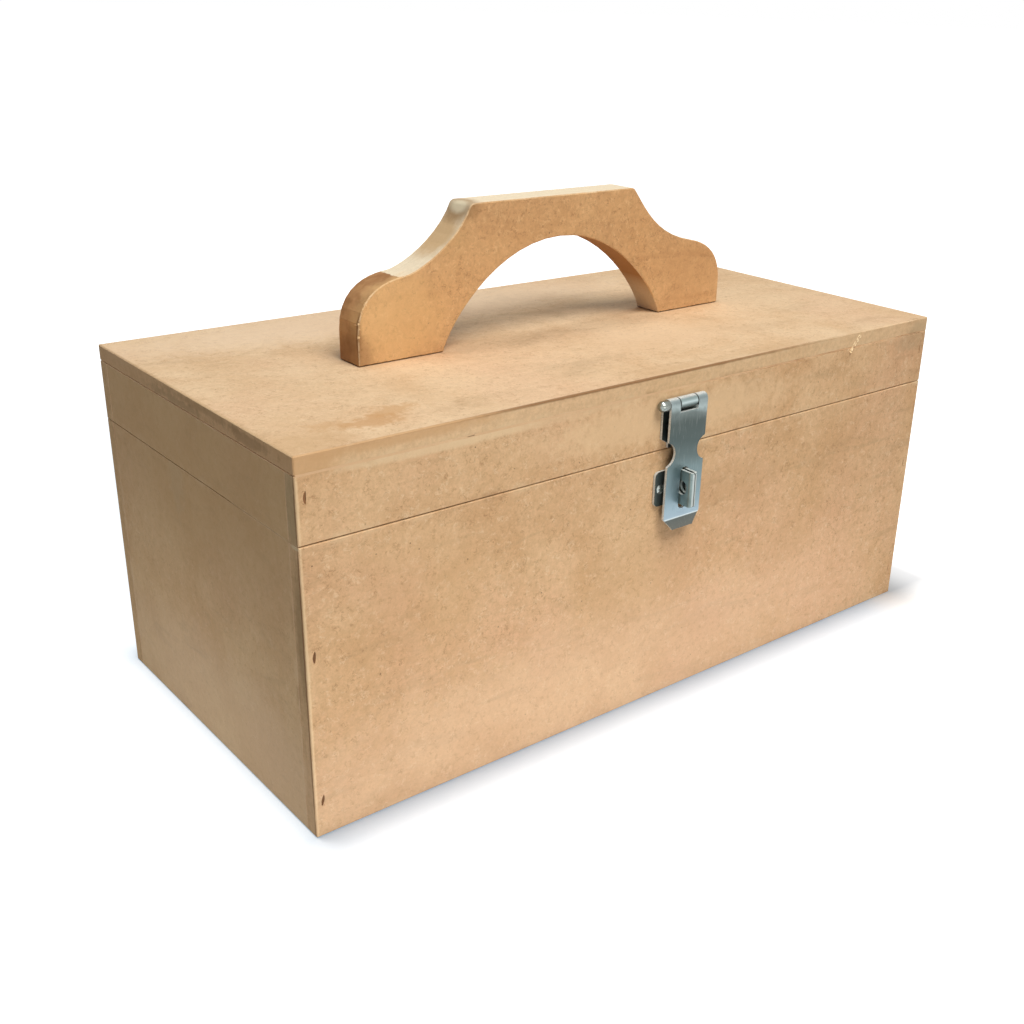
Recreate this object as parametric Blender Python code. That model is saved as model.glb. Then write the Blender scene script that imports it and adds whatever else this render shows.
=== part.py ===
"""Fibreboard suitcase box with a hinged lid, an arched carry handle and a folding hasp.

Metres, +Z up. The origin is the middle of the case's underside, +X runs along the front and the
front faces -Y. Two empties carry what moves: lid_axis at the rear hinges and flap_axis at the hasp.
"""
import math

import bmesh
import bpy
from mathutils import Matrix, Vector

# Case of one sheet of fibreboard
CASE_LENGTH = 0.460
CASE_DEPTH = 0.225
CASE_HEIGHT = 0.200
LID_HEIGHT = 0.043
BOARD = 0.009
SEAM_GAP = 0.0005
ARRIS = 0.0005

# Clearance between pieces that touch, and how far a cutter runs past what it cuts
FIT_GAP = 0.0003
OVERRUN = 0.002

# Carry handle, sawn by hand from thicker board: one shoulder is longer and rounder than the other
HANDLE_LENGTH = 0.278
HANDLE_HEIGHT = 0.080
HANDLE_THICKNESS = 0.020
HANDLE_OFFSET_X = 0.0035
HANDLE_OFFSET_Y = 0.0025
HANDLE_TURN_DEG = 0.8
ARCH_SPAN = 0.168
ARCH_RISE = 0.0565
SHOULDER_LEFT = 0.0745
SHOULDER_RIGHT = 0.081
HANDLE_TOP_ROUND = 0.004
HANDLE_ARRIS = 0.0006
HANDLE_SCREW_SPACING = 0.026
# From the top corner down to the foot, as shares of the shoulder's reach and of the handle's height:
# a hollow curve to the waist, then a full curve to where the foot's side runs straight down
SHOULDER_LEFT_SHARES = (
    ((0.0, 1.0), (0.119, 0.739), (0.48, 0.575), (0.589, 0.567)),
    ((0.589, 0.567), (0.709, 0.558), (1.0, 0.514), (1.0, 0.204)),
)
SHOULDER_RIGHT_SHARES = (
    ((0.0, 1.0), (0.135, 0.838), (0.252, 0.625), (0.643, 0.550)),
    ((0.643, 0.550), (0.877, 0.505), (1.0, 0.383), (1.0, 0.186)),
)
# Half of the arch, from its foot to its crown, as shares of half the span and of the rise
ARCH_SHARES = ((1.0, 0.0), (0.98, 0.177), (0.604, 1.0), (0.0, 1.0))
CURVE_STEPS = 10
ARCH_STEPS = 14

# Two butt hinges on the outside of the back
HINGE_INSET = 0.085
HINGE_LENGTH = 0.040
HINGE_REACH = 0.0165
HINGE_SHEET = 0.0012
HINGE_PIN_RADIUS = 0.0012
HINGE_SCREW_SPACING = 0.024
HINGE_SCREW_REACH = 0.0095
KNUCKLE_WRAP_DEG = 285.0
KNUCKLE_STEPS = 22

# Hasp: a leaf fixed on the lid, a flap that swings on its pin and leans in against the case
HASP_OFFSET = 0.0054
HASP_SHEET = 0.0015
HASP_PIN_RADIUS = 0.0016
HASP_PIN_RISE = 0.0268
HASP_LEAF_WIDTH = 0.0296
HASP_LEAF_LIFT = 0.0012
HASP_LEAF_CHAMFER = 0.005
HASP_LEAF_CHAMFER_DROP = 0.003
HASP_LEAF_SHOULDER = 0.0027
HASP_LEAF_SCREW_REACH = 0.0128
HASP_LEAF_SCREW_SPACING = 0.017
HASP_WINDOW_WIDTH = 0.0136
HASP_WINDOW_DROP = 0.0044
FLAP_WIDTH = 0.0278
FLAP_REACH = 0.0675
FLAP_LEAN_DEG = 1.0
FLAP_TOE = 0.0056
FLAP_TOE_DEG = 16.0
FLAP_BEND = 0.002
FLAP_CHAMFER = 0.0059
FLAP_CHAMFER_RISE = 0.0008
NOTCH_RADIUS = 0.0074
NOTCH_DEPTH = 0.0055
NOTCH_DROP = 0.028
SLOT_ROOM_SIDE = 0.0009
SLOT_ROOM_ABOVE = 0.0015
SLOT_ROOM_BELOW = 0.0018
PIN_HEAD_RADIUS = 0.0031
PIN_HEAD_RIM = 0.0029

# Staple plate on the body: one strip folded out into a double tab with a padlock hole
STAPLE_PLATE_WIDTH = 0.036
STAPLE_PLATE_HEIGHT = 0.0206
STAPLE_PLATE_DROP = 0.0491
STAPLE_PLATE_CORNER = 0.003
STAPLE_TAB_REACH = 0.0149
STAPLE_TAB_SPLIT = 0.0018
STAPLE_TAB_CORNER = 0.0016
STAPLE_BEND = 0.001
STAPLE_SCREW_SPACING = 0.0274
PADLOCK_HOLE_RADIUS = 0.0042
PADLOCK_HOLE_REACH = 0.0071

# Countersunk screws with raised heads: the short one holds the steel plates, the long one the handle
SCREW_SIDES = 16
PLATE_SCREW = {
    "length": 0.008, "shank": 0.00125, "head": 0.0028, "sink": 0.0015, "crown": 0.0007, "point": 0.002,
}
HANDLE_SCREW = {
    "length": 0.030, "shank": 0.0017, "head": 0.0036, "sink": 0.0022, "crown": 0.0003, "point": 0.004,
}
CROWN_STEPS = 3
RECESS_SPAN_SHARE = 1.15
RECESS_WIDTH_SHARE = 0.26
RECESS_DEPTH_SHARE = 0.60

# Wire staples that pin the front and back boards to the ends
WIRE_CROWN = 0.0058
WIRE_WIDTH = 0.0012
WIRE_THICKNESS = 0.0006
WIRE_LEG = 0.016
WIRE_SINK = 0.0003
WIRE_LID_DROP = 0.020
WIRE_BODY_DROP = 0.057
WIRE_BODY_RISE = 0.0205

ROUND_STEPS = 24
CORNER_STEPS = 5
BEND_STEPS = 3
SHARP_DEG = 35.0

# Sizes that follow from those above
FRONT = -CASE_DEPTH / 2
BACK = CASE_DEPTH / 2
SEAM = CASE_HEIGHT - LID_HEIGHT
BODY_TOP = SEAM - SEAM_GAP / 2
LID_BOTTOM = SEAM + SEAM_GAP / 2
LID_WALL_TOP = CASE_HEIGHT - BOARD - FIT_GAP
HINGE_BARREL = HINGE_PIN_RADIUS + FIT_GAP + HINGE_SHEET
HINGE_AXIS = Vector((0, BACK + FIT_GAP + HINGE_BARREL, SEAM))
HASP_BARREL = HASP_PIN_RADIUS + FIT_GAP + HASP_SHEET
HASP_AXIS = Vector((HASP_OFFSET, FRONT - FIT_GAP - HASP_BARREL, SEAM + HASP_PIN_RISE))
HASP_LEAF_REACH = HASP_PIN_RISE - HASP_LEAF_LIFT
STAPLE_PLATE_CENTRE = HASP_AXIS.z - STAPLE_PLATE_DROP
STAPLE_TOP = STAPLE_PLATE_CENTRE + STAPLE_PLATE_HEIGHT / 2
STAPLE_BOTTOM = STAPLE_PLATE_CENTRE - STAPLE_PLATE_HEIGHT / 2
STAPLE_TAB_HALF = STAPLE_TAB_SPLIT / 2 + HASP_SHEET
STAPLE_SWEEP = math.hypot(HASP_AXIS.y - FRONT + STAPLE_TAB_REACH, HASP_AXIS.z - STAPLE_BOTTOM)
HANDLE_FOOT = (HANDLE_LENGTH - ARCH_SPAN) / 2

# Colour, roughness and metallic value of each finish
FINISHES = {
    "board": ((0.66, 0.44, 0.25, 1), 0.75, 0.0),
    "handle_board": ((0.60, 0.34, 0.15, 1), 0.75, 0.0),
    "zinc": ((0.42, 0.48, 0.50, 1), 0.32, 1.0),
    "screw_zinc": ((0.50, 0.54, 0.55, 1), 0.30, 1.0),
    "wire": ((0.35, 0.30, 0.26, 1), 0.45, 1.0),
}


def clear_scene():
    """Removes every object that the scene starts with."""
    for thing in list(bpy.data.objects):
        bpy.data.objects.remove(thing, do_unlink=True)


def finish(node, kind):
    """Gives one node its own material."""
    colour, roughness, metallic = FINISHES[kind]
    surface = bpy.data.materials.new(node + "_finish")
    surface.use_nodes = True
    shader = surface.node_tree.nodes["Principled BSDF"]
    shader.inputs["Base Color"].default_value = colour
    shader.inputs["Roughness"].default_value = roughness
    shader.inputs["Metallic"].default_value = metallic
    surface.diffuse_color = colour
    return surface


def arc(centre, radius, start_deg, end_deg, steps):
    """Points along a circular arc, both ends included."""
    turn = math.radians(end_deg - start_deg)
    return [
        (
            centre[0] + radius * math.cos(math.radians(start_deg) + turn * i / steps),
            centre[1] + radius * math.sin(math.radians(start_deg) + turn * i / steps),
        )
        for i in range(steps + 1)
    ]


def bezier(start, pull_a, pull_b, end, steps):
    """Points along a cubic curve, without its first point."""
    points = []
    for i in range(1, steps + 1):
        t = i / steps
        weights = ((1 - t) ** 3, 3 * t * (1 - t) ** 2, 3 * t * t * (1 - t), t**3)
        corners = (start, pull_a, pull_b, end)
        points.append(tuple(sum(w * c[k] for w, c in zip(weights, corners)) for k in (0, 1)))
    return points


def rounded_rectangle(half_a, half_b, radius, centre=(0, 0)):
    """Outline of a rectangle with round corners."""
    outline = []
    for sign_a, sign_b, start in ((1, 1, 0), (-1, 1, 90), (-1, -1, 180), (1, -1, 270)):
        corner = (centre[0] + sign_a * (half_a - radius), centre[1] + sign_b * (half_b - radius))
        outline += arc(corner, radius, start, start + 90, CORNER_STEPS)
    return outline


def new_mesh(name, shape):
    """Turns a bmesh into a mesh with outward faces, round where its faces meet gently."""
    bmesh.ops.recalc_face_normals(shape, faces=shape.faces)
    mesh = bpy.data.meshes.new(name)
    shape.to_mesh(mesh)
    shape.free()
    mesh.shade_smooth()
    mesh.set_sharp_from_angle(angle=math.radians(SHARP_DEG))
    return mesh


def prism_shape(outline, low, high, along):
    """Extrudes an outline of (y, z), (x, z) or (x, y) points along X, Y or Z."""
    places = {
        "X": lambda a, b, c: (c, a, b),
        "Y": lambda a, b, c: (a, c, b),
        "Z": lambda a, b, c: (a, b, c),
    }
    place = places[along]
    shape = bmesh.new()
    face = shape.faces.new([shape.verts.new(place(a, b, low)) for a, b in outline])
    grown = bmesh.ops.extrude_face_region(shape, geom=[face])["geom"]
    ends = [item for item in grown if isinstance(item, bmesh.types.BMVert)]
    bmesh.ops.translate(shape, verts=ends, vec=Vector(place(0, 0, high - low)))
    return shape


def prism(name, outline, low, high, along):
    """Mesh of an extruded outline."""
    return new_mesh(name, prism_shape(outline, low, high, along))


def block_shape(low, high):
    """Box between two corners."""
    outline = [(low[0], low[1]), (high[0], low[1]), (high[0], high[1]), (low[0], high[1])]
    return prism_shape(outline, low[2], high[2], "Z")


def block(name, low, high):
    """Mesh of a box between two corners."""
    return new_mesh(name, block_shape(low, high))


def turned(name, profile, sides):
    """Mesh turned about Z from a profile of (radius, height) points that starts and ends on the axis."""
    shape = bmesh.new()
    points = [shape.verts.new((radius, 0, height)) for radius, height in profile]
    edges = [shape.edges.new(pair) for pair in zip(points, points[1:])]
    bmesh.ops.spin(
        shape, geom=points + edges, cent=(0, 0, 0), axis=(0, 0, 1), angle=math.tau, steps=sides
    )
    bmesh.ops.remove_doubles(shape, verts=shape.verts, dist=FIT_GAP / 100)
    return new_mesh(name, shape)


def gathered(name, pieces):
    """One mesh of several (mesh, matrix) pieces that lie apart."""
    shape = bmesh.new()
    for mesh, matrix in pieces:
        copy = mesh.copy()
        copy.transform(matrix)
        shape.from_mesh(copy)
    return new_mesh(name, shape)


def guide(name, mesh):
    """An object that only cuts others."""
    tool = bpy.data.objects.new(name, mesh)
    bpy.context.scene.collection.objects.link(tool)
    tool.hide_render = True
    tool.display_type = "WIRE"
    return tool


def carve(piece, tool, operation="DIFFERENCE"):
    """Cuts a piece with a guide, or keeps what both hold."""
    modifier = piece.modifiers.new(tool.name, "BOOLEAN")
    modifier.operation = operation
    modifier.solver = "EXACT"
    modifier.object = tool


def shaped(name, mesh, steps):
    """Mesh left after a row of (name, mesh, operation) cuts, for a piece that is used more than once."""
    piece = guide(name, mesh)
    tools = []
    for tool_name, tool_mesh, operation in steps:
        tools.append(guide(tool_name, tool_mesh))
        carve(piece, tools[-1], operation)
    seen = piece.evaluated_get(bpy.context.evaluated_depsgraph_get())
    result = bpy.data.meshes.new_from_object(seen)
    result.name = name
    result.set_sharp_from_angle(angle=math.radians(SHARP_DEG))
    for thing in [piece] + tools:
        bpy.data.objects.remove(thing, do_unlink=True)
    return result


def add(name, mesh, kind, carrier=None, matrix=None):
    """Adds one node in world coordinates and hangs it on its carrier."""
    node = bpy.data.objects.new(name, mesh)
    bpy.context.scene.collection.objects.link(node)
    node.matrix_basis = matrix or Matrix()
    if carrier:
        node.parent = carrier
        node.matrix_parent_inverse = Matrix.Translation(-axis_point(carrier))
    if node.data.users > 1:
        node.data = node.data.copy()
    node.data.materials.clear()
    node.data.materials.append(finish(name, kind))
    return node


def axis_point(empty):
    """Where an empty stands in the world."""
    return HASP_AXIS if empty.name == "flap_axis" else HINGE_AXIS


def axis_empty(name, point, carrier=None):
    """Adds the empty on a joint's axis."""
    empty = bpy.data.objects.new(name, None)
    bpy.context.scene.collection.objects.link(empty)
    empty.location = point
    if carrier:
        empty.parent = carrier
        empty.matrix_parent_inverse = Matrix.Translation(-axis_point(carrier))
    return empty


def facing(point, outward):
    """Places a piece that is built along Z at a point, with its +Z turned outward."""
    return Matrix.Translation(point) @ outward.to_track_quat("Z", "Y").to_matrix().to_4x4()


def screw_profile(screw, grow):
    """Profile of a screw from its crown down to its point; a grown one cuts its hole, open upward."""
    head = screw["head"]
    if grow:
        profile = [(0, OVERRUN), (head + grow, OVERRUN), (head + grow, 0)]
    else:
        rise = screw["crown"]
        steps = [i / CROWN_STEPS for i in range(CROWN_STEPS + 1)]
        profile = [(head * t, rise * (1 - t * t)) for t in steps]
    profile += [
        (screw["shank"] + grow, -screw["sink"]),
        (screw["shank"] + grow, screw["point"] - screw["length"]),
        (0, -screw["length"] - grow),
    ]
    return profile


def screw_mesh(name, screw):
    """Countersunk screw with a cross recess."""
    span = screw["head"] * RECESS_SPAN_SHARE / 2
    half = screw["head"] * RECESS_WIDTH_SHARE / 2
    depth = screw["sink"] * RECESS_DEPTH_SHARE
    cross = [(span, half), (half, half), (half, span), (-half, span), (-half, half), (-span, half)]
    cross += [(-a, -b) for a, b in cross]
    recess = prism(name + "_recess", cross, -depth, screw["crown"] + OVERRUN, "Z")
    return shaped(name, turned(name, screw_profile(screw, 0), SCREW_SIDES),
                  [(name + "_recess", recess, "DIFFERENCE")])


def screw_hole(name, screw):
    """Guide mesh for the hole that a screw sits in."""
    return turned(name, screw_profile(screw, FIT_GAP), SCREW_SIDES)


def wire_outline(grow):
    """U outline of a wire staple in (y, z): crown at the face, legs running inward along +Y."""
    out, thick = WIRE_SINK - grow, WIRE_THICKNESS
    if grow:
        out = -OVERRUN
    half = WIRE_CROWN / 2
    crown = WIRE_SINK + thick + grow
    tip = WIRE_SINK + WIRE_LEG + grow
    outer, inner = half + grow, half - thick - grow
    return [
        (out, -outer), (tip, -outer), (tip, -inner), (crown, -inner),
        (crown, inner), (tip, inner), (tip, outer), (out, outer),
    ]


def wire_places():
    """Where each wire staple enters: (node name, carrier is the lid, matrix)."""
    heights = (
        ("lid", True, CASE_HEIGHT - WIRE_LID_DROP),
        ("body_high", False, SEAM - WIRE_BODY_DROP),
        ("body_low", False, WIRE_BODY_RISE),
    )
    places = []
    for face, face_y, turn in (("front", FRONT, 0), ("back", BACK, math.pi)):
        for side, sign in (("left", -1), ("right", 1)):
            for label, on_lid, height in heights:
                point = (sign * (CASE_LENGTH - BOARD) / 2, face_y, height)
                matrix = Matrix.Translation(point) @ Matrix.Rotation(turn, 4, "Z")
                places.append((f"wire_staple_{face}_{side}_{label}", on_lid, matrix))
    return places


def hinge_centres():
    """Name and middle of each rear hinge on its axis."""
    reach = Vector((CASE_LENGTH / 2 - HINGE_INSET, 0, 0))
    return (("hinge_left", HINGE_AXIS - reach), ("hinge_right", HINGE_AXIS + reach))


def hinge_screw_places(centre, side):
    """Head points of one hinge leaf's screws; side is -1 for the body's leaf and 1 for the lid's."""
    depth = -HINGE_BARREL + HINGE_SHEET
    return [
        facing(centre + Vector((shift * HINGE_SCREW_SPACING / 2, depth, side * HINGE_SCREW_REACH)),
               Vector((0, 1, 0)))
        for shift in (-1, 1)
    ]


def hasp_screw_places():
    """Head points of the fixed hasp leaf's screws."""
    depth = HASP_BARREL - HASP_SHEET
    return [
        facing(HASP_AXIS + Vector((shift * HASP_LEAF_SCREW_SPACING / 2, depth, -HASP_LEAF_SCREW_REACH)),
               Vector((0, -1, 0)))
        for shift in (-1, 1)
    ]


def staple_screw_places():
    """Head points of the staple plate's screws."""
    face = FRONT - FIT_GAP - HASP_SHEET
    return [
        facing(Vector((HASP_OFFSET + shift * STAPLE_SCREW_SPACING / 2, face, STAPLE_PLATE_CENTRE)),
               Vector((0, -1, 0)))
        for shift in (-1, 1)
    ]


def handle_matrix():
    """Where the handle's own frame stands: middle of its feet, on the lid's top."""
    point = Vector((HANDLE_OFFSET_X, HANDLE_OFFSET_Y, CASE_HEIGHT + FIT_GAP))
    return Matrix.Translation(point) @ Matrix.Rotation(math.radians(HANDLE_TURN_DEG), 4, "Z")


def handle_screw_places():
    """Head points of the handle's screws, sunk in the underside of the lid's top."""
    drop = -FIT_GAP - BOARD
    middle = (HANDLE_LENGTH - HANDLE_FOOT) / 2
    places = []
    for side in (-1, 1):
        for shift in (-1, 1):
            point = Vector((side * middle + shift * HANDLE_SCREW_SPACING / 2, 0, drop))
            places.append(handle_matrix() @ facing(point, Vector((0, 0, -1))))
    return places


def ease_outer_corners(shape):
    """Takes the sharp arris off the edges that lie on the outside corners of the case."""
    limits = (CASE_LENGTH / 2, CASE_DEPTH / 2)

    def faces_met(vert):
        met = {axis for axis in (0, 1) if abs(abs(vert.co[axis]) - limits[axis]) < FIT_GAP / 10}
        if abs(vert.co.z) < FIT_GAP / 10 or abs(vert.co.z - CASE_HEIGHT) < FIT_GAP / 10:
            met.add(2)
        return met

    edges = [e for e in shape.edges if len(faces_met(e.verts[0]) & faces_met(e.verts[1])) > 1]
    bmesh.ops.bevel(shape, geom=edges, offset=ARRIS, segments=1, profile=0.5, affect="EDGES")


def panel(name, low, high, carrier=None, pockets=()):
    """One board of the case, with pockets for the fasteners that it holds."""
    shape = block_shape(low, high)
    ease_outer_corners(shape)
    node = add(name, new_mesh(name, shape), "board", carrier)
    if pockets:
        carve(node, guide(name + "_pockets", gathered(name + "_pockets", pockets)))
    return node


def box_walls(prefix, bottom, top, carrier, front_pockets, back_pockets, wire_pockets):
    """Front, back and two end boards of the body or the lid; the front and back cover the ends."""
    reach = CASE_LENGTH / 2
    inside = CASE_DEPTH / 2 - BOARD - FIT_GAP
    panel(prefix + "_front_board", (-reach, FRONT, bottom), (reach, FRONT + BOARD, top), carrier,
          front_pockets + wire_pockets)
    panel(prefix + "_back_board", (-reach, BACK - BOARD, bottom), (reach, BACK, top), carrier,
          back_pockets + wire_pockets)
    panel(prefix + "_left_end", (-reach, -inside, bottom), (BOARD - reach, inside, top), carrier,
          wire_pockets)
    panel(prefix + "_right_end", (reach - BOARD, -inside, bottom), (reach, inside, top), carrier,
          wire_pockets)


def build_case(lid_axis):
    """The body's five boards and the lid's five boards."""
    plate_hole = screw_hole("plate_screw_hole", PLATE_SCREW)
    handle_hole = screw_hole("handle_screw_hole", HANDLE_SCREW)
    wire_hole = prism("wire_hole", wire_outline(FIT_GAP), -WIRE_WIDTH / 2 - FIT_GAP,
                      WIRE_WIDTH / 2 + FIT_GAP, "X")
    wires = {on_lid: [(wire_hole, m) for _, lid, m in wire_places() if lid == on_lid]
             for on_lid in (False, True)}
    hinges = {side: [(plate_hole, m) for _, centre in hinge_centres()
                     for m in hinge_screw_places(centre, side)] for side in (-1, 1)}
    box_walls("body", 0, BODY_TOP, None, [(plate_hole, m) for m in staple_screw_places()],
              hinges[-1], wires[False])
    inner = Vector((CASE_LENGTH / 2, CASE_DEPTH / 2)) - Vector((BOARD + FIT_GAP, BOARD + FIT_GAP))
    panel("body_bottom", (-inner.x, -inner.y, 0), (inner.x, inner.y, BOARD))
    box_walls("lid", LID_BOTTOM, LID_WALL_TOP, lid_axis,
              [(plate_hole, m) for m in hasp_screw_places()], hinges[1], wires[True])
    panel("lid_top", (-CASE_LENGTH / 2, FRONT, CASE_HEIGHT - BOARD), (CASE_LENGTH / 2, BACK, CASE_HEIGHT),
          lid_axis, [(handle_hole, m) for m in handle_screw_places()])


def build_wire_staples(lid_axis):
    """The wire staples at the four corners of the case."""
    mesh = prism("wire_staple", wire_outline(0), -WIRE_WIDTH / 2, WIRE_WIDTH / 2, "X")
    for name, on_lid, matrix in wire_places():
        add(name, mesh, "wire", lid_axis if on_lid else None, matrix)


def rounded_top_corner(corner, before, after, radius):
    """Arc that rounds a corner between the directions to two neighbours."""
    corner, before, after = Vector(corner), Vector(before), Vector(after)
    back, ahead = (before - corner).normalized(), (after - corner).normalized()
    half_angle = back.angle(ahead) / 2
    middle = corner + (back + ahead).normalized() * (radius / math.sin(half_angle))
    run = radius / math.tan(half_angle)
    start, end = corner + back * run - middle, corner + ahead * run - middle
    points = []
    for i in range(CORNER_STEPS + 1):
        spoke = start.lerp(end, i / CORNER_STEPS).normalized() * radius
        points.append(tuple(middle + spoke))
    return points


def shoulder(shares, reach):
    """One shoulder's curve, as (distance outward from the top corner, height) points."""
    points = []
    for curve in shares:
        sized = [(a * reach, b * HANDLE_HEIGHT) for a, b in curve]
        points += bezier(*sized, CURVE_STEPS)
    return points


def handle_outline():
    """Front view of the handle in (x, z), from the left foot over the top to the right and back."""
    half = HANDLE_LENGTH / 2
    left_top = SHOULDER_LEFT - half
    right_top = half - SHOULDER_RIGHT
    left = [(left_top - a, b) for a, b in shoulder(SHOULDER_LEFT_SHARES, SHOULDER_LEFT)]
    right = [(right_top + a, b) for a, b in shoulder(SHOULDER_RIGHT_SHARES, SHOULDER_RIGHT)]
    rise = [(a * ARCH_SPAN / 2, b * ARCH_RISE) for a, b in ARCH_SHARES]
    arch = [rise[0]] + bezier(*rise, ARCH_STEPS)
    top_left, top_right = (left_top, HANDLE_HEIGHT), (right_top, HANDLE_HEIGHT)
    outline = [(-half, 0)] + left[::-1]
    outline += rounded_top_corner(top_left, left[0], top_right, HANDLE_TOP_ROUND)
    outline += rounded_top_corner(top_right, top_left, right[0], HANDLE_TOP_ROUND)
    outline += right + [(half, 0)]
    return outline + arch + [(-a, b) for a, b in arch[-2::-1]]


def build_handle(lid_axis):
    """The arched handle and the four screws that hold it from inside the lid."""
    mesh = prism("carry_handle", handle_outline(), -HANDLE_THICKNESS / 2, HANDLE_THICKNESS / 2, "Y")
    handle = add("carry_handle", mesh, "handle_board", lid_axis, handle_matrix())
    arris = handle.modifiers.new("arris", "BEVEL")
    arris.width = HANDLE_ARRIS
    arris.segments = 1
    arris.limit_method = "ANGLE"
    arris.angle_limit = math.radians(SHARP_DEG)
    hole = screw_hole("handle_pilot_hole", HANDLE_SCREW)
    pilots = gathered("handle_pilot_holes", [(hole, m) for m in handle_screw_places()])
    carve(handle, guide("handle_pilot_holes", pilots))
    screw = screw_mesh("handle_screw", HANDLE_SCREW)
    names = ("left_outer", "left_inner", "right_inner", "right_outer")
    for name, matrix in zip(names, handle_screw_places()):
        add("handle_screw_" + name, screw, "screw_zinc", lid_axis, matrix)


def rolled_leaf(sheet, barrel, reach, toe=0.0, toe_deg=0.0, bend=0.0):
    """Outline of a leaf rolled round its pin: plate on the -a side hanging down, knuckle at the origin.

    The plate's end can be bent outward, to -a, by a toe of a given length, angle and inner radius.
    """
    end_deg = 180 - KNUCKLE_WRAP_DEG
    outer = arc((0, 0), barrel, 180, end_deg, KNUCKLE_STEPS)
    inner = arc((0, 0), barrel - sheet, end_deg, 180, KNUCKLE_STEPS)
    if not toe:
        return [(-barrel, -reach)] + outer + inner + [(sheet - barrel, -reach)]
    lean = math.radians(toe_deg)
    step = Vector((-math.sin(lean), -math.cos(lean))) * toe
    centre = (-barrel - bend, -reach)
    hollow = arc(centre, bend, -toe_deg, 0, BEND_STEPS)
    full = arc(centre, bend + sheet, 0, -toe_deg, BEND_STEPS)
    ends = [tuple(Vector(full[-1]) + step), tuple(Vector(hollow[0]) + step)]
    return ends + hollow + outer + inner + full


def mirrored(outline, flip_a=False, flip_b=False):
    """An outline turned over in its first or second direction."""
    return [(-a if flip_a else a, -b if flip_b else b) for a, b in outline]


def knuckle_gap(name, barrel, low, high):
    """Guide mesh that clears a leaf between two stations for the other leaf's knuckle."""
    reach = barrel + FIT_GAP
    return block(name, (low, -barrel - OVERRUN, -reach), (high, barrel + OVERRUN, reach))


def build_hinges(lid_axis):
    """Two butt hinges, each with a lower leaf, an upper leaf, a pin and four screws."""
    half, third = HINGE_LENGTH / 2, HINGE_LENGTH / 6
    outline = rolled_leaf(HINGE_SHEET, HINGE_BARREL, HINGE_REACH)
    hole = screw_hole("hinge_screw_hole", PLATE_SCREW)
    origin = Vector()
    holes = {side: gathered("hinge_holes", [(hole, m) for m in hinge_screw_places(origin, side)])
             for side in (-1, 1)}
    lower = shaped("hinge_lower_leaf", prism("hinge_lower_leaf", outline, -half, half, "X"), [
        ("lower_gap", knuckle_gap("lower_gap", HINGE_BARREL, -third - FIT_GAP / 2, third + FIT_GAP / 2),
         "DIFFERENCE"),
        ("lower_holes", holes[-1], "DIFFERENCE"),
    ])
    upper = shaped("hinge_upper_leaf",
                   prism("hinge_upper_leaf", mirrored(outline, flip_b=True), -half, half, "X"), [
        ("left_gap", knuckle_gap("left_gap", HINGE_BARREL, -half - OVERRUN, FIT_GAP / 2 - third),
         "DIFFERENCE"),
        ("right_gap", knuckle_gap("right_gap", HINGE_BARREL, third - FIT_GAP / 2, half + OVERRUN),
         "DIFFERENCE"),
        ("upper_holes", holes[1], "DIFFERENCE"),
    ])
    pin = turned("hinge_pin", [(0, half), (HINGE_PIN_RADIUS, half), (HINGE_PIN_RADIUS, -half), (0, -half)],
                 SCREW_SIDES)
    screw = screw_mesh("plate_screw", PLATE_SCREW)
    for name, centre in hinge_centres():
        place = Matrix.Translation(centre)
        add(name + "_lower_leaf", lower, "zinc", None, place)
        add(name + "_upper_leaf", upper, "zinc", lid_axis, place)
        add(name + "_pin", pin, "zinc", None, facing(centre, Vector((1, 0, 0))))
        for label, side, carrier in (("lower", -1, None), ("upper", 1, lid_axis)):
            for hand, matrix in zip(("left", "right"), hinge_screw_places(centre, side)):
                add(f"{name}_{label}_screw_{hand}", screw, "screw_zinc", carrier, matrix)


def leaf_foot_corners():
    """Guide mesh for the two stepped corners at the foot of the fixed hasp leaf."""
    half, foot = HASP_LEAF_WIDTH / 2, -HASP_LEAF_REACH
    shoulder_top = foot + HASP_LEAF_SHOULDER + HASP_LEAF_CHAMFER_DROP
    corner = [
        (half - HASP_LEAF_CHAMFER, foot - OVERRUN),
        (half + OVERRUN, foot - OVERRUN),
        (half + OVERRUN, shoulder_top),
        (half, shoulder_top),
        (half - HASP_LEAF_CHAMFER, foot + HASP_LEAF_SHOULDER),
    ]
    depth = HASP_BARREL + OVERRUN
    right = prism("leaf_corner", corner, -depth, depth, "Y")
    left = prism("leaf_corner", mirrored(corner, flip_a=True), -depth, depth, "Y")
    return gathered("leaf_corners", [(left, Matrix()), (right, Matrix())])


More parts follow.
